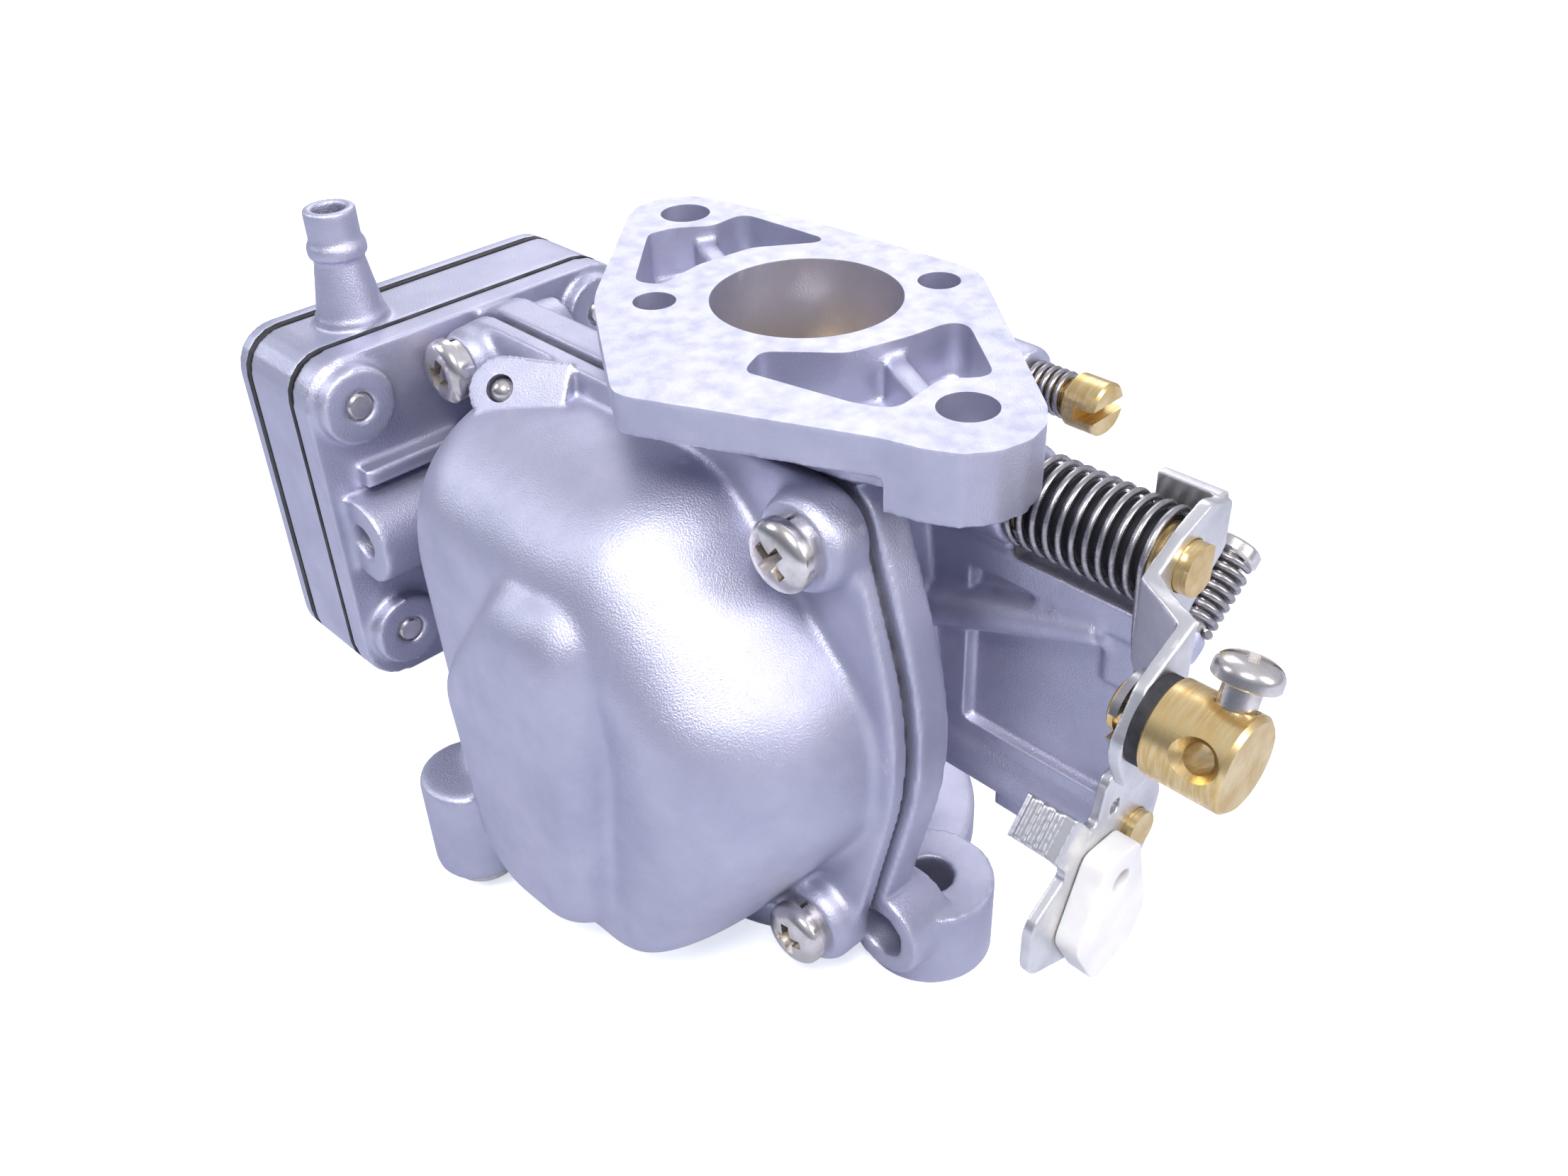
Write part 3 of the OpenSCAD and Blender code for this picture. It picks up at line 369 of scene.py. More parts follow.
def cut_flat(bm, height, upward):
    """Cuts a mesh off at a height and closes it with a flat, crisp face."""
    side = 1 if upward else -1
    everything = bm.verts[:] + bm.edges[:] + bm.faces[:]
    cut = bmesh.ops.bisect_plane(bm, geom=everything, plane_co=(0, 0, height),
                                 plane_no=(0, 0, side), clear_outer=True)
    rim = [edge for edge in cut["geom_cut"] if isinstance(edge, bmesh.types.BMEdge)]
    made = bmesh.ops.triangle_fill(bm, use_beauty=True, edges=rim, normal=(0, 0, side))
    flat = [face for face in made["geom"] if isinstance(face, bmesh.types.BMFace)]
    for edge in rim:
        edge.smooth = False
    for face in flat:
        face.smooth = False
        if face.normal.z * side < 0:
            face.normal_flip()
    return flat


def cast_skin(mesh, voxel, rounds, keep=1.0):
    """A casting's skin: even quads, softened corners, and then fewer faces if keep is below 1."""
    stack = [("REMESH", {"mode": "VOXEL", "voxel_size": voxel, "use_smooth_shade": True}),
             ("SMOOTH", {"factor": 0.5, "iterations": rounds})]
    if keep < 1:
        stack.append(("DECIMATE", {"ratio": keep}))
    return applied(mesh, *stack)

# %% [markdown]
# ### Body
# The body is the biggest casting. Its engine face and air face are milled, and its throat is
# reamed, so those faces get their own finish by where they lie. What is left keeps the first
# finish, which is the cast alloy.

# %% Body
ENGINE_FACE, AIR_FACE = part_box("body")[1].z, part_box("body")[0].z
MILLED_OFF = 1.5 * MM
raw = nodes["body"].data.copy()
drawn_out(raw, ENGINE_FACE, MILLED_OFF, True)
drawn_out(raw, AIR_FACE, MILLED_OFF, False)
skin = cast_skin(raw, voxel=0.5 * MM, rounds=7, keep=0.45)

bm = bmesh.new()
bm.from_mesh(skin)
top_faces = cut_flat(bm, ENGINE_FACE, True)
bottom_faces = cut_flat(bm, AIR_FACE, False)
THROAT_R, THROAT_END = 12.35 * MM, -29 * MM
CHOKE_BORE_R, MOUTH_R, MOUTH_TOP = 14.9 * MM, 18.3 * MM, -80 * MM
STEEP = 0.8
FACED, GOLD = 1, 2
for face in bm.faces:
    middle = face.calc_center_median()
    radius = math.hypot(middle.x, middle.y)
    inward = face.normal.x * middle.x + face.normal.y * middle.y < 0
    if radius < THROAT_R and middle.z > THROAT_END and inward:
        face.material_index = GOLD
    elif radius < MOUTH_R and inward and abs(face.normal.z) < STEEP and middle.z < THROAT_END:
        if radius < CHOKE_BORE_R or middle.z < MOUTH_TOP:
            face.material_index = FACED
for face in top_faces + bottom_faces:
    face.material_index = FACED
bm.to_mesh(skin)
bm.free()
add_piece("body_casting", skin, "body", "cast_alloy", "machined_alloy", "throat_gold")

# %% [markdown]
# ### Drawn outlines and lofts
# The bowl's dome swells from a wide base to a smaller front. Each outline is a few corners
# with radii, and a ring between the two is their blend. Ring heights follow a superellipse,
# which rounds the shoulder like blown glass instead of slanting it like a roof.

# %% Outlines and lofts
ARC_STEPS = 14


def rounded(corners):
    """Points of an outline whose corners (x, z, radius) in mm are rounded off."""
    points = []
    count = len(corners)
    for i in range(count):
        here = Vector(corners[i][:2])
        back = (Vector(corners[i - 1][:2]) - here).normalized()
        ahead = (Vector(corners[(i + 1) % count][:2]) - here).normalized()
        half = back.angle(ahead) / 2
        radius = corners[i][2]
        centre = here + (back + ahead).normalized() * (radius / math.sin(half))
        start = here + back * (radius / math.tan(half)) - centre
        end = here + ahead * (radius / math.tan(half)) - centre
        swing = start.angle_signed(end)
        for k in range(ARC_STEPS + 1):
            turned = Matrix.Rotation(-swing * k / ARC_STEPS, 2) @ start
            points.append(centre + turned)
    return points


def skinned(rings):
    """A closed solid through rings of (y, outline points), all with as many points."""
    bm = bmesh.new()
    rows = [[bm.verts.new((p.x * MM, y * MM, p.y * MM)) for p in outline] for y, outline in rings]
    for low, high in zip(rows, rows[1:]):
        for k in range(len(low)):
            n = (k + 1) % len(low)
            bm.faces.new((low[k], low[n], high[n], high[k]))
    bm.faces.new(rows[0])
    bm.faces.new(rows[-1])
    bmesh.ops.recalc_face_normals(bm, faces=bm.faces)
    mesh = bpy.data.meshes.new("skinned")
    bm.to_mesh(mesh)
    bm.free()
    return mesh


def dome(base, front, y_base, y_front, power, steps=26):
    """A dome from a base outline at y_base to a front outline at y_front."""
    rings = []
    for k in range(steps + 1):
        rise = math.sin(math.pi / 2 * k / steps)
        blend = 1 - (1 - rise ** power) ** (1 / power)
        corners = [[b + (f - b) * blend for b, f in zip(*pair)] for pair in zip(base, front)]
        rings.append((y_base + (y_front - y_base) * rise, rounded(corners)))
    return skinned(rings)


def slab(corners, y_low, y_high):
    """A flat plate of an outline between two heights along Y."""
    outline = rounded(corners)
    return skinned([(y_low, outline), (y_high, outline)])


def rod(start, end, radius, sides=48):
    """A plain cylinder between two points in mm."""
    start, end = Vector(start) * MM, Vector(end) * MM
    length = (end - start).length
    bm = bmesh.new()
    bmesh.ops.create_cone(bm, cap_ends=True, segments=sides, radius1=radius * MM,
                          radius2=radius * MM, depth=length)
    mesh = bpy.data.meshes.new("rod")
    bm.to_mesh(mesh)
    bm.free()
    mesh.transform(Matrix.Translation((start + end) / 2)
                   @ (end - start).to_track_quat("Z", "Y").to_matrix().to_4x4())
    return mesh


def prism(outline, low, high, taper=1.0):
    """A closed prism of a flat outline from low to high, its low end scaled by taper."""
    bm = bmesh.new()
    bottom = [bm.verts.new((x * taper, y * taper, low)) for x, y in outline]
    top = [bm.verts.new((x, y, high)) for x, y in outline]
    bm.faces.new(list(reversed(bottom)))
    bm.faces.new(top)
    for k in range(len(outline)):
        n = (k + 1) % len(outline)
        bm.faces.new((bottom[k], bottom[n], top[n], top[k]))
    mesh = bpy.data.meshes.new("prism")
    bm.to_mesh(mesh)
    bm.free()
    return mesh


def with_crisp_edges(mesh, angle=32):
    """Smooth shading, with edges over an angle kept sharp."""
    bm = bmesh.new()
    bm.from_mesh(mesh)
    for face in bm.faces:
        face.smooth = True
    for edge in bm.edges:
        edge.smooth = len(edge.link_faces) == 2 and edge.calc_face_angle(0) < math.radians(angle)
    bm.to_mesh(mesh)
    bm.free()
    return mesh


def carved(mesh, *cutters, angle=32):
    """The mesh less its cutters, shaded smooth with corners over an angle kept sharp."""
    solid = mesh
    for cutter in cutters:
        tool = bpy.data.objects.new("cutter", cutter)
        bpy.context.scene.collection.objects.link(tool)
        less = {"object": tool, "operation": "DIFFERENCE", "solver": "EXACT"}
        solid = applied(solid, ("BOOLEAN", less))
        bpy.data.objects.remove(tool)
    return with_crisp_edges(solid, angle)


def merged(*meshes):
    """One mesh that holds several closed solids, which may overlap."""
    bm = bmesh.new()
    for mesh in meshes:
        bm.from_mesh(mesh)
    made = bpy.data.meshes.new("merged")
    bm.to_mesh(made)
    bm.free()
    return made

# %% [markdown]
# ### Float bowl
# The dome, its nose and the screw bosses are melted together in a first, strongly smoothed
# skin, which leaves wide fillets. The vent lug and the joint flange are sharper on a real
# casting, so they join in a second skin that is smoothed much less.

# %% Float bowl
JOINT_Y, FLANGE_Y, DOME_Y, NOSE_Y = -17.8, -20.5, -43.0, -48.0
BOWL_FLANGE = [[-48.2, -9.6, 5], [25, -9.4, 6], [35, -42, 48], [25.6, -81.5, 5.2],
               [-48.2, -81.5, 5]]
DOME_BASE = [[-38, -13.5, 9], [6, -12.5, 14], [31, -38, 18], [30, -54, 14], [13, -80, 12],
             [-38, -80, 9]]
DOME_FRONT = [[-28.5, -29, 8], [-1, -27, 12], [12, -38, 12], [14, -56, 14], [9, -78, 9],
              [-23.5, -79, 9]]
NOSE_BASE = [[-27, -46, 7], [-10, -23.5, 8], [6, -22.5, 7], [9, -42, 18], [4, -78, 8],
             [-24, -78.5, 8]]
NOSE_FRONT = [[-18, -46, 5], [-8, -32, 6], [0, -31, 5], [3, -46, 14], [1, -73, 7], [-14, -74, 7]]
BOWL_SCREWS = [(21.7, -15.5), (21.7, -76), (-43.6, -15), (-43.6, -76)]
BOSS_Y = -24.2
DRAIN_X, DRAIN_Y, DRAIN_END = -27.5, -43.5, -82


def bosses(front_y, right_r, left_r):
    """The bosses that hold the bowl's screws, wider on the right than on the left."""
    return [rod((x, front_y, z), (x, JOINT_Y, z), right_r if x > 0 else left_r)
            for x, z in BOWL_SCREWS]


soft = merged(
    slab(BOWL_FLANGE, FLANGE_Y, JOINT_Y),
    dome(DOME_BASE, DOME_FRONT, FLANGE_Y + 1, DOME_Y, 2.2),
    dome(NOSE_BASE, NOSE_FRONT, DOME_Y + 5, NOSE_Y, 2.0),
    rod((DRAIN_X, DRAIN_Y, DRAIN_END), (DRAIN_X, DRAIN_Y, -66), 7),
    *bosses(BOSS_Y + 0.4, 6.2, 5))
soft = cast_skin(soft, voxel=0.45 * MM, rounds=22)

LUG_AT, LUG_TURN, LUG_TILT = Vector((-29, -27.3, -12.1)), math.radians(28), math.radians(48)
lug_turn = (Matrix.Translation(LUG_AT * MM) @ Matrix.Rotation(LUG_TURN, 4, "Z")
            @ Matrix.Rotation(LUG_TILT, 4, "X"))
LUG_R, LUG_L, LUG_H = 4.5 * MM, 9.5 * MM, 9 * MM
lug = [rod((0, 0, -9), (0, 0, 0), 4.5),
       prism([(0, -LUG_R), (LUG_L, -LUG_R), (LUG_L, LUG_R), (0, LUG_R)], -LUG_H, 0)]
for part in lug:
    part.transform(lug_turn)
crisp = merged(soft, slab(BOWL_FLANGE, FLANGE_Y + 0.2, JOINT_Y), *bosses(BOSS_Y, 5.5, 4.4),
               rod((DRAIN_X, DRAIN_Y, DRAIN_END), (DRAIN_X, DRAIN_Y, -70), 6.6), *lug)
bowl = cast_skin(crisp, voxel=0.4 * MM, rounds=4, keep=0.5)
behind_joint = rod((-8, JOINT_Y, -45), (-8, JOINT_Y + 12, -45), 90)
vent_hole = rod((0, 0, -3.2), (0, 0, 2), 1.9)
vent_hole.transform(lug_turn)
add_piece("bowl_casting", carved(bowl, behind_joint, vent_hole, angle=50), "float_bowl",
          "cast_alloy")

# %% [markdown]
# ### Pump body and pump cover
# These two castings have small corners, so a finer voxel and a few rounds are enough.

# %% Pump castings
for name, node, keep in (("pump_casting", "pump_body", 0.4),
                         ("pump_cover_casting", "pump_cover", 0.35)):
    pump_skin = cast_skin(nodes[node].data.copy(), voxel=0.32 * MM, rounds=5, keep=keep)
    add_piece(name, pump_skin, node, "cast_alloy")

# %% [markdown]
# ## Pressed levers and the nylon clip
# A pressed steel lever has its edges rolled over by the die. The same skin with a much finer
# voxel gives that small, even rounding on thin plate.

# %% Levers and clip
for name, node, voxel, rounds, keep, material in (
        ("throttle_lever_plate", "throttle_lever", 0.16 * MM, 14, 0.4, "lever_zinc"),
        ("choke_lever_plate", "choke_lever", 0.16 * MM, 8, 0.4, "lever_zinc"),
        ("rod_clip_moulding", "choke_rod_clip", 0.18 * MM, 8, 0.45, "nylon")):
    add_piece(name, cast_skin(nodes[node].data.copy(), voxel, rounds, keep), node, material)

# %% [markdown]
# ## Wound springs
# A spring is a round wire swept along a helix. Its place comes from the frame's box of the
# spring, or from its screw's joint, so that the coils sit on their seats. The wire is a ring of
# points carried along the path, with each ring turned square to it.

# %% Wire sweep
WIRE_SIDES = 12
STEPS_PER_TURN = 40


def swept_wire(name, path, radius, reference):
    """A closed round wire along a path of points; reference never runs along the path."""
    mesh = bpy.data.meshes.new(name)
    rings, faces = [], []
    for i, point in enumerate(path):
        ahead = (path[min(i + 1, len(path) - 1)] - path[max(i - 1, 0)]).normalized()
        side = ahead.cross(reference).normalized()
        lift = side.cross(ahead)
        for k in range(WIRE_SIDES):
            angle = 2 * math.pi * k / WIRE_SIDES
            rings.append(point + radius * (math.cos(angle) * side + math.sin(angle) * lift))
    for i in range(len(path) - 1):
        for k in range(WIRE_SIDES):
            a, b = i * WIRE_SIDES + k, i * WIRE_SIDES + (k + 1) % WIRE_SIDES
            faces.append((a, b, b + WIRE_SIDES, a + WIRE_SIDES))
    faces.append(tuple(reversed(range(WIRE_SIDES))))
    last = (len(path) - 1) * WIRE_SIDES
    faces.append(tuple(last + k for k in range(WIRE_SIDES)))
    mesh.from_pydata(rings, [], faces)
    for polygon in mesh.polygons:
        polygon.use_smooth = len(polygon.vertices) == 4
    return mesh


def helix(centre, along, start, radius, length, turns):
    """Points of a helix from centre, along an axis, starting on the side of start."""
    across = along.cross(start).normalized()
    count = int(turns * STEPS_PER_TURN)
    points = []
    for i in range(count + 1):
        angle = 2 * math.pi * turns * i / count
        points.append(centre + along * (length * i / count)
                      + radius * (math.cos(angle) * start + math.sin(angle) * across))
    return points

# %% [markdown]
# ### Return spring
# The long spring round the throttle shaft closes the throttle. Its last turn runs out into a
# bent tail that presses on the lever.

# %% Return spring
X, Y, Z = Vector((1, 0, 0)), Vector((0, 1, 0)), Vector((0, 0, 1))
RETURN_WIRE, RETURN_TURNS = 0.42 * MM, 10
shaft_low, shaft_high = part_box("throttle_shaft")
shaft_z = (shaft_low.z + shaft_high.z) / 2
coil_low, coil_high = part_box("throttle_return_spring")
coil_r = (coil_high.y - coil_low.y) / 2 - RETURN_WIRE
coil_start = coil_low.x + RETURN_WIRE
coil_end = 53.6 * MM
path = helix(Vector((coil_start, 0, shaft_z)), X, -Y, coil_r, coil_end - coil_start, RETURN_TURNS)
TAIL_STEPS = 6
tail = [(0.1, -coil_r / MM, -2.5), (0.2, -5.1, -8), (1.1, -4.2, -15)]
for past_coil, y, above_shaft in tail:
    before = path[-1]
    after = Vector((coil_end + past_coil * MM, y * MM, shaft_z + above_shaft * MM))
    path += [before.lerp(after, k / TAIL_STEPS) for k in range(1, TAIL_STEPS + 1)]
add_piece("return_spring", swept_wire("return_spring", path, RETURN_WIRE, X),
          "throttle_return_spring", "spring_wire")

# %% [markdown]
# ### Screw springs
# Two short springs keep the pilot screw and the idle-stop screw from turning by themselves.
# They sit round their screws, which point along X and up and back.

# %% Screw springs
pilot_low, pilot_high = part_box("pilot_screw_spring")
PILOT_WIRE, PILOT_TURNS = 0.4 * MM, 5
pilot_middle = (pilot_low + pilot_high) / 2
pilot_r = (pilot_high.y - pilot_low.y) / 2 - PILOT_WIRE
pilot_start = Vector((pilot_low.x + PILOT_WIRE, pilot_middle.y, pilot_middle.z))
pilot_length = pilot_high.x - pilot_low.x - 2 * PILOT_WIRE
path = helix(pilot_start, X, Y, pilot_r, pilot_length, PILOT_TURNS)
add_piece("pilot_spring", swept_wire("pilot_spring", path, PILOT_WIRE, X),
          "pilot_screw_spring", "spring_wire")

idle_joint = next(joint for joint in frame["joints"] if joint["name"] == "idle_stop_turn")
idle_axis = Vector(idle_joint["axis"]).normalized()
idle_end = Vector(idle_joint["pos_m"])
IDLE_WIRE, IDLE_TURNS, IDLE_R, IDLE_LENGTH = 0.42 * MM, 7, 2.75 * MM, 8.45 * MM
UNDER_HEAD = 0.5 * MM
idle_start = idle_end - idle_axis * (IDLE_LENGTH + UNDER_HEAD)
path = helix(idle_start, idle_axis, X, IDLE_R, IDLE_LENGTH, IDLE_TURNS)
add_piece("idle_spring", swept_wire("idle_spring", path, IDLE_WIRE, idle_axis),
          "idle_stop_spring", "spring_wire")

# %% [markdown]
# ## Turned and carved pieces
# Screws, the cable barrel and the shaft ends are turned on a lathe and then slotted or
# drilled. A lathe in code spins a profile of radius and height round an axis, and carving is
# a Boolean with a cutter. Keeping the profile's corners chamfered gives the small bright ring
# that a real turned edge shows.

# %% Lathe and carving
ROUND = 72
ON_AXIS = 1e-9


def lathe(profile, sides=ROUND):
    """A closed solid turned from (radius, height) points that start and end on the axis."""
    bm = bmesh.new()
    rows = []
    for radius, height in profile:
        if radius < ON_AXIS:
            rows.append([bm.verts.new((0, 0, height))])
        else:
            rows.append([bm.verts.new((radius * math.cos(2 * math.pi * k / sides),
                                       radius * math.sin(2 * math.pi * k / sides), height))
                         for k in range(sides)])
    for low, high in zip(rows, rows[1:]):
        for k in range(sides):
            n = (k + 1) % sides
            corners = [low[k % len(low)], low[n % len(low)],
                       high[n % len(high)], high[k % len(high)]]
            corners = [v for i, v in enumerate(corners) if v not in corners[:i]]
            if len(corners) > 2:
                bm.faces.new(corners)
    bmesh.ops.recalc_face_normals(bm, faces=bm.faces)
    mesh = bpy.data.meshes.new("turned")
    bm.to_mesh(mesh)
    bm.free()
    return mesh


def joined(meshes_and_places):
    """One mesh of several, each moved to its place."""
    bm = bmesh.new()
    for mesh, matrix in meshes_and_places:
        part = mesh.copy()
        part.transform(matrix)
        bm.from_mesh(part)
        bpy.data.meshes.remove(part)
    mesh = bpy.data.meshes.new("joined")
    bm.to_mesh(mesh)
    bm.free()
    return mesh


def turned_to(direction, at, roll=0.0):
    """The placement that turns +Z to a direction at a point, rolled about it by degrees."""
    return (Matrix.Translation(at) @ direction.to_track_quat("Z", "Y").to_matrix().to_4x4()
            @ Matrix.Rotation(math.radians(roll), 4, "Z"))

# %% [markdown]
# ### Pan-head screws
# The bowl, drain, pump and clamp screws share one shape: a domed pan head with a deep cross
# recess. The profile is a flat seat, a short upright rim and a full dome. The recess is a
# tapered cross, and the clamp screw has a slot across it too. Shares are of the head's radius
# or height, so that every size of screw keeps the same look.

# %% Pan-head screw shape
DOME_STEPS = 9
RIM_SHARE, DOME_POWER = 0.36, 0.62
ARM_SHARE, ARM_WIDTH_SHARE = 0.60, 0.17
CROSS_FLOOR, CROSS_TOP, CROSS_TAPER = 0.1, 1.3, 0.62
SLOT_FLOOR, SLOT_TOP, SLOT_WIDTH_SHARE = 0.62, 1.5, 0.1


def pan_screw(shank_r, shank_l, head_r, head_h, slot_too=False):
    """A pan-head screw along +Z with its seat at z = 0."""
    rim = head_h * RIM_SHARE
    chamfer = min(shank_r * 0.35, 0.5 * MM)
    profile = [(0, -shank_l), (shank_r - chamfer, -shank_l), (shank_r, -shank_l + chamfer),
               (shank_r, 0), (head_r * 0.96, 0), (head_r, head_h * 0.06), (head_r, rim)]
    for k in range(1, DOME_STEPS + 1):
        angle = 0.5 * math.pi * k / DOME_STEPS
        profile.append((head_r * math.cos(angle) ** DOME_POWER if k < DOME_STEPS else 0,
                        rim + (head_h - rim) * math.sin(angle)))
    arm, width = head_r * ARM_SHARE, head_r * ARM_WIDTH_SHARE
    cross = []
    for quarter in range(4):
        turn = Matrix.Rotation(math.pi / 2 * quarter, 2)
        for corner in ((arm, -width), (arm, width), (width, width)):
            cross.append(tuple(turn @ Vector(corner)))
    cutters = [prism(cross, head_h * CROSS_FLOOR, head_h * CROSS_TOP, CROSS_TAPER)]
    if slot_too:
        half = head_r * 1.1
        thin = head_r * SLOT_WIDTH_SHARE
        cutters.append(prism([(-half, -thin), (half, -thin), (half, thin), (-half, thin)],
                             head_h * SLOT_FLOOR, head_h * SLOT_TOP))
    return carved(lathe(profile), *cutters)


def solids_of(node):
    """The box of each separate solid in a CAD node, in a steady order."""
    bm = bmesh.new()
    bm.from_mesh(nodes[node].data)
    bmesh.ops.remove_doubles(bm, verts=bm.verts, dist=0.001 * MM)
    waiting, boxes = set(bm.verts), []
    while waiting:
        reached, group = [waiting.pop()], []
        while reached:
            vertex = reached.pop()
            group.append(vertex.co.copy())
            for edge in vertex.link_edges:
                other = edge.other_vert(vertex)
                if other in waiting:
                    waiting.discard(other)
                    reached.append(other)
        low = Vector([min(co[i] for co in group) for i in range(3)])
        high = Vector([max(co[i] for co in group) for i in range(3)])
        boxes.append((low, high))
    bm.free()
    return sorted(boxes, key=lambda box: tuple(round(v, 5) for v in (box[0] + box[1])))

# %% [markdown]
# ### Placing the screws
# Each screw's seat is found from its own solid in the frame. Real screws stop at any angle,
# so each cross is turned by a different amount.

# %% Screws
def screws_on(name, node, direction, shank_r, head_r, head_h, rolls, slot_too=False):
    """Pan-head screws in place of a node's solids, heads towards a direction."""
    parts = []
    for (low, high), roll in zip(solids_of(node), rolls):
        middle = (low + high) / 2
        reach = Vector([abs(direction[i]) * (high[i] - low[i]) / 2 for i in range(3)]).length
        seat = middle + direction * (reach - head_h)
        mesh = pan_screw(shank_r, 2 * reach - head_h, head_r, head_h, slot_too)
        parts.append((mesh, turned_to(direction, seat, roll)))
    return add_piece(name, with_crisp_edges(joined(parts)), node, "bright_screw")


screws_on("bowl_screw_set", "bowl_screws", -Y, 2.5 * MM, 4.5 * MM, 2.7 * MM, (25, 68, 12, 50))
screws_on("pump_screw_set", "pump_screws", -X, 2.0 * MM, 3.8 * MM, 2.4 * MM, (15, 40, 70, 5))
screws_on("drain_plug_screw", "drain_screw", -Z, 3.0 * MM, 5.0 * MM, 2.4 * MM, (30,))

# %% [markdown]
# ### Cable barrel
# The barrel is a brass pin with a thick head. The throttle cable goes through the cross hole,
# and the clamp screw comes down on it from above. Both holes have turned chamfers.

# %% Cable barrel
barrel_low, barrel_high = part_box("cable_barrel")
barrel_r = (barrel_high.y - barrel_low.y) / 2
barrel_at = Vector((0, (barrel_low.y + barrel_high.y) / 2, (barrel_low.z + barrel_high.z) / 2))
cable_hole = next(mount for mount in frame["record"]["mounts"] if mount["name"] == "cable_hole")
hole_at, hole_axis = Vector(cable_hole["pos_m"]), Vector(cable_hole["axis"])
clamp_axis = hole_axis.cross(X)
if clamp_axis.z < 0:
    clamp_axis.negate()
JOURNAL_R, HEAD_X, EDGE, FACE_EDGE = 2.95 * MM, 64.0 * MM, 0.25 * MM, 0.5 * MM
GROOVE_R, GROOVE_X, GROOVE_W = 2.45 * MM, 59.7 * MM, 1.1 * MM
barrel = lathe([
    (0, barrel_low.x), (JOURNAL_R - EDGE, barrel_low.x), (JOURNAL_R, barrel_low.x + EDGE),
    (JOURNAL_R, GROOVE_X), (GROOVE_R, GROOVE_X), (GROOVE_R, GROOVE_X + GROOVE_W),
    (JOURNAL_R, GROOVE_X + GROOVE_W), (JOURNAL_R, HEAD_X), (barrel_r - EDGE, HEAD_X),
    (barrel_r, HEAD_X + EDGE), (barrel_r, barrel_high.x - FACE_EDGE),
    (barrel_r - FACE_EDGE, barrel_high.x), (0, barrel_high.x)])
barrel.transform(Matrix.Translation(barrel_at) @ Matrix.Rotation(math.pi / 2, 4, "Y"))
CABLE_R, CHAMFER, OUTSIDE = 1.6 * MM, 1.0 * MM, 8 * MM
cable_cut = lathe([
    (0, -OUTSIDE), (CABLE_R + 3 * CHAMFER, -OUTSIDE), (CABLE_R + CHAMFER, -barrel_r),
    (CABLE_R, -barrel_r + 1.2 * CHAMFER), (CABLE_R, barrel_r - 1.2 * CHAMFER),
    (CABLE_R + CHAMFER, barrel_r), (CABLE_R + 3 * CHAMFER, OUTSIDE), (0, OUTSIDE)])
cable_cut.transform(turned_to(hole_axis, hole_at))
CLAMP_R, CLAMP_MOUTH_R, CLAMP_FLOOR = 2.05 * MM, 2.7 * MM, 1.4 * MM
clamp_cut = lathe([
    (0, CLAMP_FLOOR), (CLAMP_R, CLAMP_FLOOR), (CLAMP_R, barrel_r - 0.4 * MM),
    (CLAMP_MOUTH_R, barrel_r + 0.25 * MM), (CLAMP_MOUTH_R, OUTSIDE), (0, OUTSIDE)])
clamp_cut.transform(turned_to(clamp_axis, hole_at))
add_piece("barrel_turned", carved(barrel, cable_cut, clamp_cut), "cable_barrel", "brass")

SEAT_UP = 7.6 * MM
clamp = pan_screw(2.0 * MM, 5.6 * MM, 3.5 * MM, 2.6 * MM, True)
clamp.transform(turned_to(clamp_axis, hole_at + clamp_axis * SEAT_UP, 22))
add_piece("clamp_screw_turned", clamp, "cable_clamp_screw", "bright_screw")

# %% [markdown]
# ### Slotted adjusting screws
# The pilot screw is knurl-free brass with one wide slot, and the idle-stop screw is plated
# steel. Both are turned from bar with a chamfered head.

# %% Slotted screws
def slotted_screw(head_r, head_h, shank_r, shank_l, point_r, point_l, slot_w, slot_depth):
    """A slotted screw along +Z with its head's face at z = 0 and its point below."""
    edge = 0.35 * MM
    profile = [(0, -head_h - shank_l - point_l), (point_r, -head_h - shank_l - point_l),
               (shank_r, -head_h - shank_l), (shank_r, -head_h), (head_r - edge, -head_h),
               (head_r, -head_h + edge), (head_r, -edge), (head_r - edge, 0), (0, 0)]
    half = head_r * 1.2
    side = slot_w / 2
    slot = prism([(-half, -side), (half, -side), (half, side), (-half, side)],
                 -slot_depth, 1 * MM)
    return carved(lathe(profile), slot)


screw_low, screw_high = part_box("pilot_screw")
pilot = slotted_screw(
    head_r=(screw_high.y - screw_low.y) / 2, head_h=4.6 * MM, shank_r=1.9 * MM,
    shank_l=19.4 * MM, point_r=0.5 * MM, point_l=3 * MM, slot_w=1.5 * MM, slot_depth=2.6 * MM)
pilot_face = Vector((screw_high.x, (screw_low.y + screw_high.y) / 2,
                     (screw_low.z + screw_high.z) / 2))
pilot.transform(turned_to(X, pilot_face))
add_piece("pilot_screw_turned", pilot, "pilot_screw", "brass")

idle = slotted_screw(
    head_r=3.2 * MM, head_h=1.8 * MM, shank_r=2.0 * MM, shank_l=14.0 * MM,
    point_r=0.8 * MM, point_l=1.2 * MM, slot_w=0.9 * MM, slot_depth=1.0 * MM)
idle.transform(turned_to(idle_axis, idle_end + idle_axis * 1.8 * MM, 20))
add_piece("idle_stop_turned", idle, "idle_stop_screw", "bright_screw")

# %% [markdown]
# ## What stays as it is
# The remaining parts are right as the frame has them: shafts, discs, gaskets, jets and the
# float. They get their finish, and their CAD edges stay sharp.

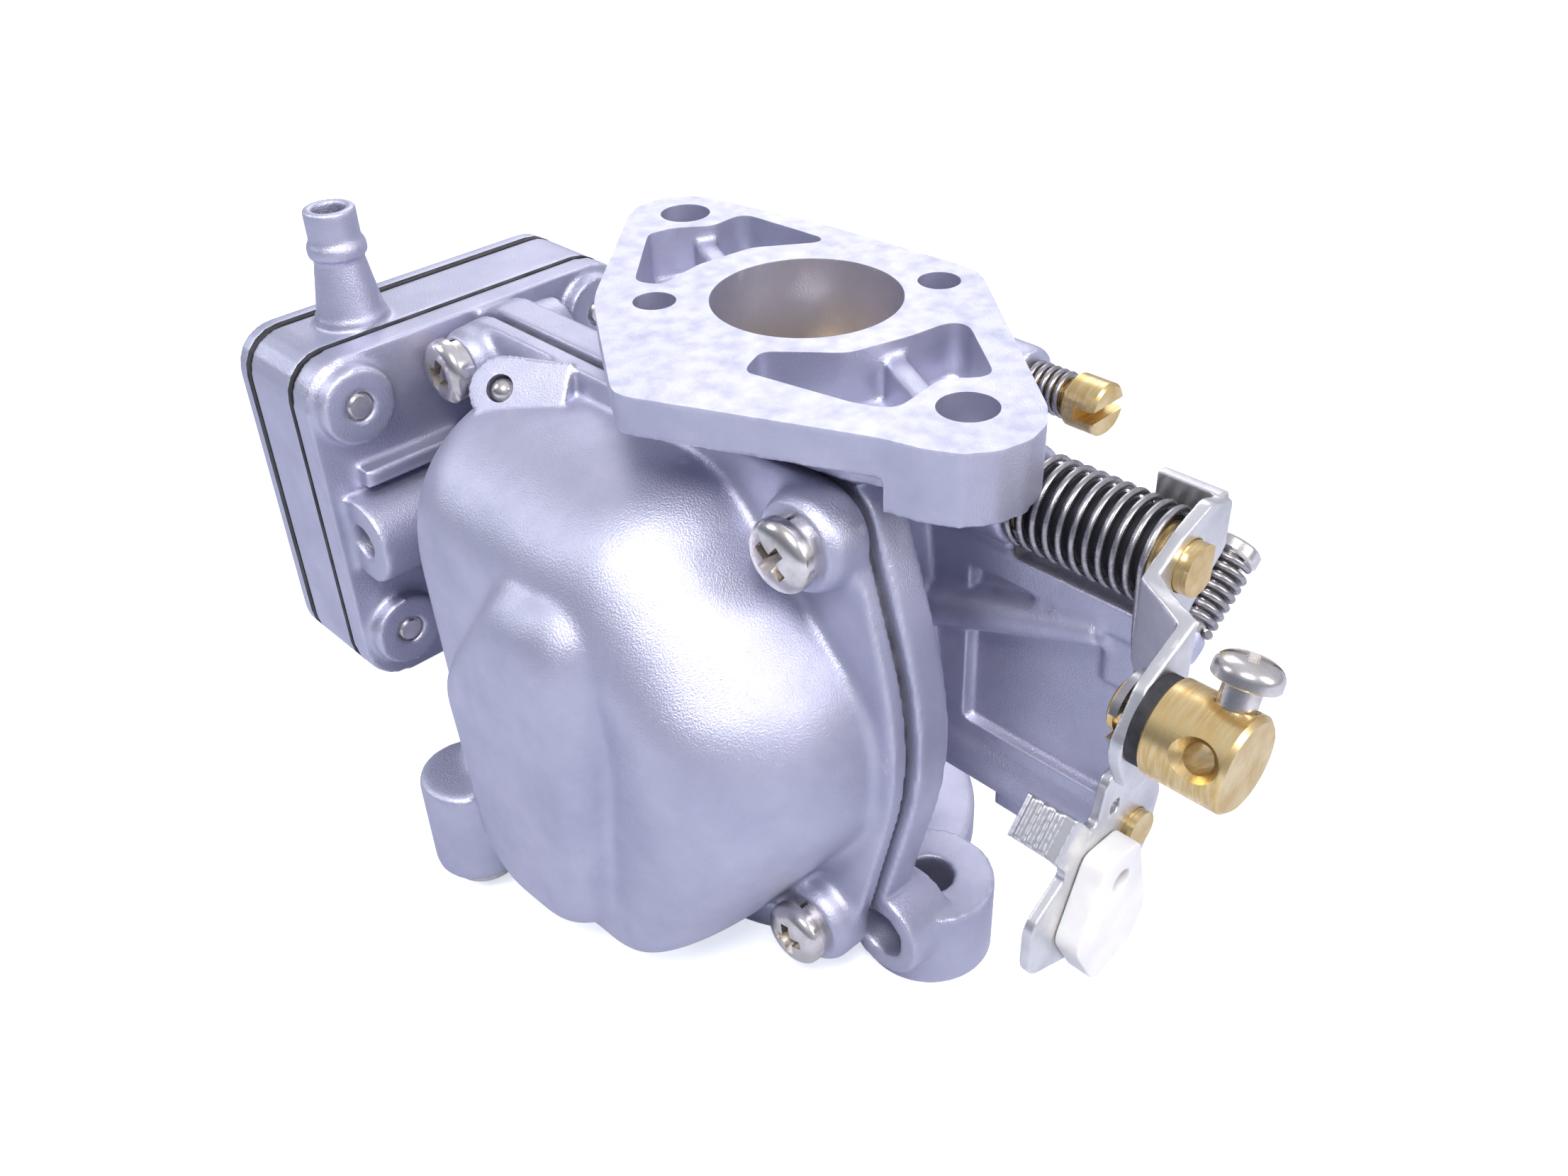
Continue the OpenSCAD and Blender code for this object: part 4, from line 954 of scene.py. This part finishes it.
# %% Finishes on frame parts
FINISH_OF_SLOT = {
    "cast_alloy": "cast_alloy", "gasket_black": "gasket_black", "valve_film": "gasket_black",
    "diaphragm_rubber": "diaphragm_rubber", "bright_screw": "bright_screw",
    "lever_steel": "lever_zinc", "sleeve_black": "sleeve_black", "spring_steel": "spring_wire",
    "brass": "brass", "pin_steel": "bright_screw", "nylon": "nylon", "float_foam": "float_foam"}
for node, cad in nodes.items():
    material = finishes[FINISH_OF_SLOT[slot_of[node]]]
    if not cad.data.materials:
        cad.data.materials.append(material)
    for place in cad.material_slots:
        place.material = material
print("finished", len(nodes), "frame parts")

# %% [markdown]
# ### Bowl gasket
# A paper gasket sits a little inside the edge of the joint, so only a dark line shows. The
# frame's gasket is drawn in by 1.5 hundredths about its middle, and is grey fibre, not rubber.

# %% Bowl gasket
gasket = nodes["bowl_gasket"].data.copy()
gasket_low, gasket_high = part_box("bowl_gasket")
gasket_middle = (gasket_low + gasket_high) / 2
DRAWN_IN = 0.985
for vertex in gasket.vertices:
    vertex.co.x = gasket_middle.x + (vertex.co.x - gasket_middle.x) * DRAWN_IN
    vertex.co.z = gasket_middle.z + (vertex.co.z - gasket_middle.z) * DRAWN_IN
add_piece("bowl_gasket_sheet", gasket, "bowl_gasket", "gasket_grey")

# %% [markdown]
# ## Studio
# The part lies on a white sheet that runs out of sight. Metal shows what it reflects, so the
# surroundings matter more than the lamps: bright behind and above, dim and blue in front and
# below. The eye still sees pure white behind the part, which the Light Path node allows.

# %% Floor
FLOOR_GAP = 0.05 * MM
floor_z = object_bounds()[0].z - FLOOR_GAP
floor_mesh = bpy.data.meshes.new("floor")
HALF_FLOOR = 6.0
floor_mesh.from_pydata([(-HALF_FLOOR, -HALF_FLOOR, floor_z), (HALF_FLOOR, -HALF_FLOOR, floor_z),
                        (HALF_FLOOR, HALF_FLOOR, floor_z), (-HALF_FLOOR, HALF_FLOOR, floor_z)],
                       [], [(0, 1, 2, 3)])
floor = bpy.data.objects.new("floor", floor_mesh)
bpy.context.scene.collection.objects.link(floor)
white = bpy.data.materials.new("floor_white")
white.use_nodes = True
sheet_tree = white.node_tree
sheet = sheet_tree.nodes["Principled BSDF"]
sheet.inputs["Roughness"].default_value = 0.9
sheet.inputs["Specular IOR Level"].default_value = 0.1
sheet.inputs["Emission Color"].default_value = (0.93, 0.96, 1.0, 1)
seen = sheet_tree.nodes.new("ShaderNodeLightPath").outputs["Is Camera Ray"]
sheet_tone = sheet_tree.nodes.new("ShaderNodeMix")
sheet_tone.data_type = "RGBA"
sheet_tone.inputs["A"].default_value = (0.55, 0.57, 0.64, 1)
sheet_tone.inputs["B"].default_value = (0.90, 0.92, 0.96, 1)
sheet_tree.links.new(seen, sheet_tone.inputs["Factor"])
sheet_tree.links.new(sheet_tone.outputs["Result"], sheet.inputs["Base Color"])
sheet_tree.links.new(spread(sheet_tree, seen, 0, 1, 0.0, 0.62), sheet.inputs["Emission Strength"])
floor_mesh.materials.append(white)
print("floor at", round(floor_z / MM, 2), "mm")

# %% [markdown]
# ### Surroundings
# The world blends two tones by direction. The direction's share along an axis that points up,
# back and to the right tells how bright it is there.

# %% World
world = bpy.data.worlds.new("studio")
bpy.context.scene.world = world
world.use_nodes = True
sky_tree = world.node_tree
around = sky_tree.nodes["Background"]
direction = sky_tree.nodes.new("ShaderNodeTexCoord").outputs["Generated"]
toward = sky_tree.nodes.new("ShaderNodeVectorMath")
toward.operation = "DOT_PRODUCT"
toward.inputs[1].default_value = Vector((0.15, 0.45, 0.88)).normalized()
sky_tree.links.new(direction, toward.inputs[0])
tone = sky_tree.nodes.new("ShaderNodeMix")
tone.data_type = "RGBA"
tone.inputs["A"].default_value = (0.20, 0.225, 0.29, 1)
tone.inputs["B"].default_value = (0.86, 0.87, 1.0, 1)
sky_tree.links.new(spread(sky_tree, toward.outputs["Value"], -0.35, 0.95), tone.inputs["Factor"])
sky_tree.links.new(tone.outputs["Result"], around.inputs["Color"])
around.inputs["Strength"].default_value = 0.85
backdrop = sky_tree.nodes.new("ShaderNodeBackground")
backdrop.inputs["Color"].default_value = (1, 1, 1, 1)
backdrop.inputs["Strength"].default_value = 1.0
choice = sky_tree.nodes.new("ShaderNodeMixShader")
by_camera = sky_tree.nodes.new("ShaderNodeLightPath").outputs["Is Camera Ray"]
sky_tree.links.new(by_camera, choice.inputs[0])
sky_tree.links.new(around.outputs[0], choice.inputs[1])
sky_tree.links.new(backdrop.outputs[0], choice.inputs[2])
sky_tree.links.new(choice.outputs[0], sky_tree.nodes["World Output"].inputs["Surface"])
print("world:", world.name)

# %% [markdown]
# ### Lamps
# The key lamp stands high in front, almost above the camera, and lights the bowl's dome. A wide
# one behind and to the left is what the milled flange mirrors. A narrow one on the right lights
# the levers, and a small one on the left keeps the bowl's far side from going flat.

# %% Lamps
def soft_box(name, at, aim, size, power, colour):
    """A rectangular area light at a point, aimed at another."""
    light = bpy.data.lights.new(name, "AREA")
    light.shape = "RECTANGLE"
    light.size, light.size_y = size
    light.energy = power
    light.color = colour
    lamp = bpy.data.objects.new(name, light)
    lamp.location = at
    lamp.rotation_euler = (Vector(aim) - Vector(at)).to_track_quat("-Z", "Y").to_euler()
    bpy.context.scene.collection.objects.link(lamp)
    print(name, power, "W")


middle = (0.0, -0.02, -0.04)
soft_box("key", (0.24, -0.30, 0.50), middle, (0.22, 0.16), 3.0, (1.0, 0.99, 1.0))
soft_box("behind", (-0.42, 0.40, 0.42), middle, (0.45, 0.35), 1.1, (0.97, 0.97, 1.0))
soft_box("right", (0.45, 0.10, 0.22), middle, (0.12, 0.25), 1.0, (1.0, 0.98, 1.0))
soft_box("left", (-0.40, -0.34, 0.30), middle, (0.16, 0.2), 0.7, (0.92, 0.95, 1.0))
bpy.context.scene.view_settings.view_transform = "Standard"
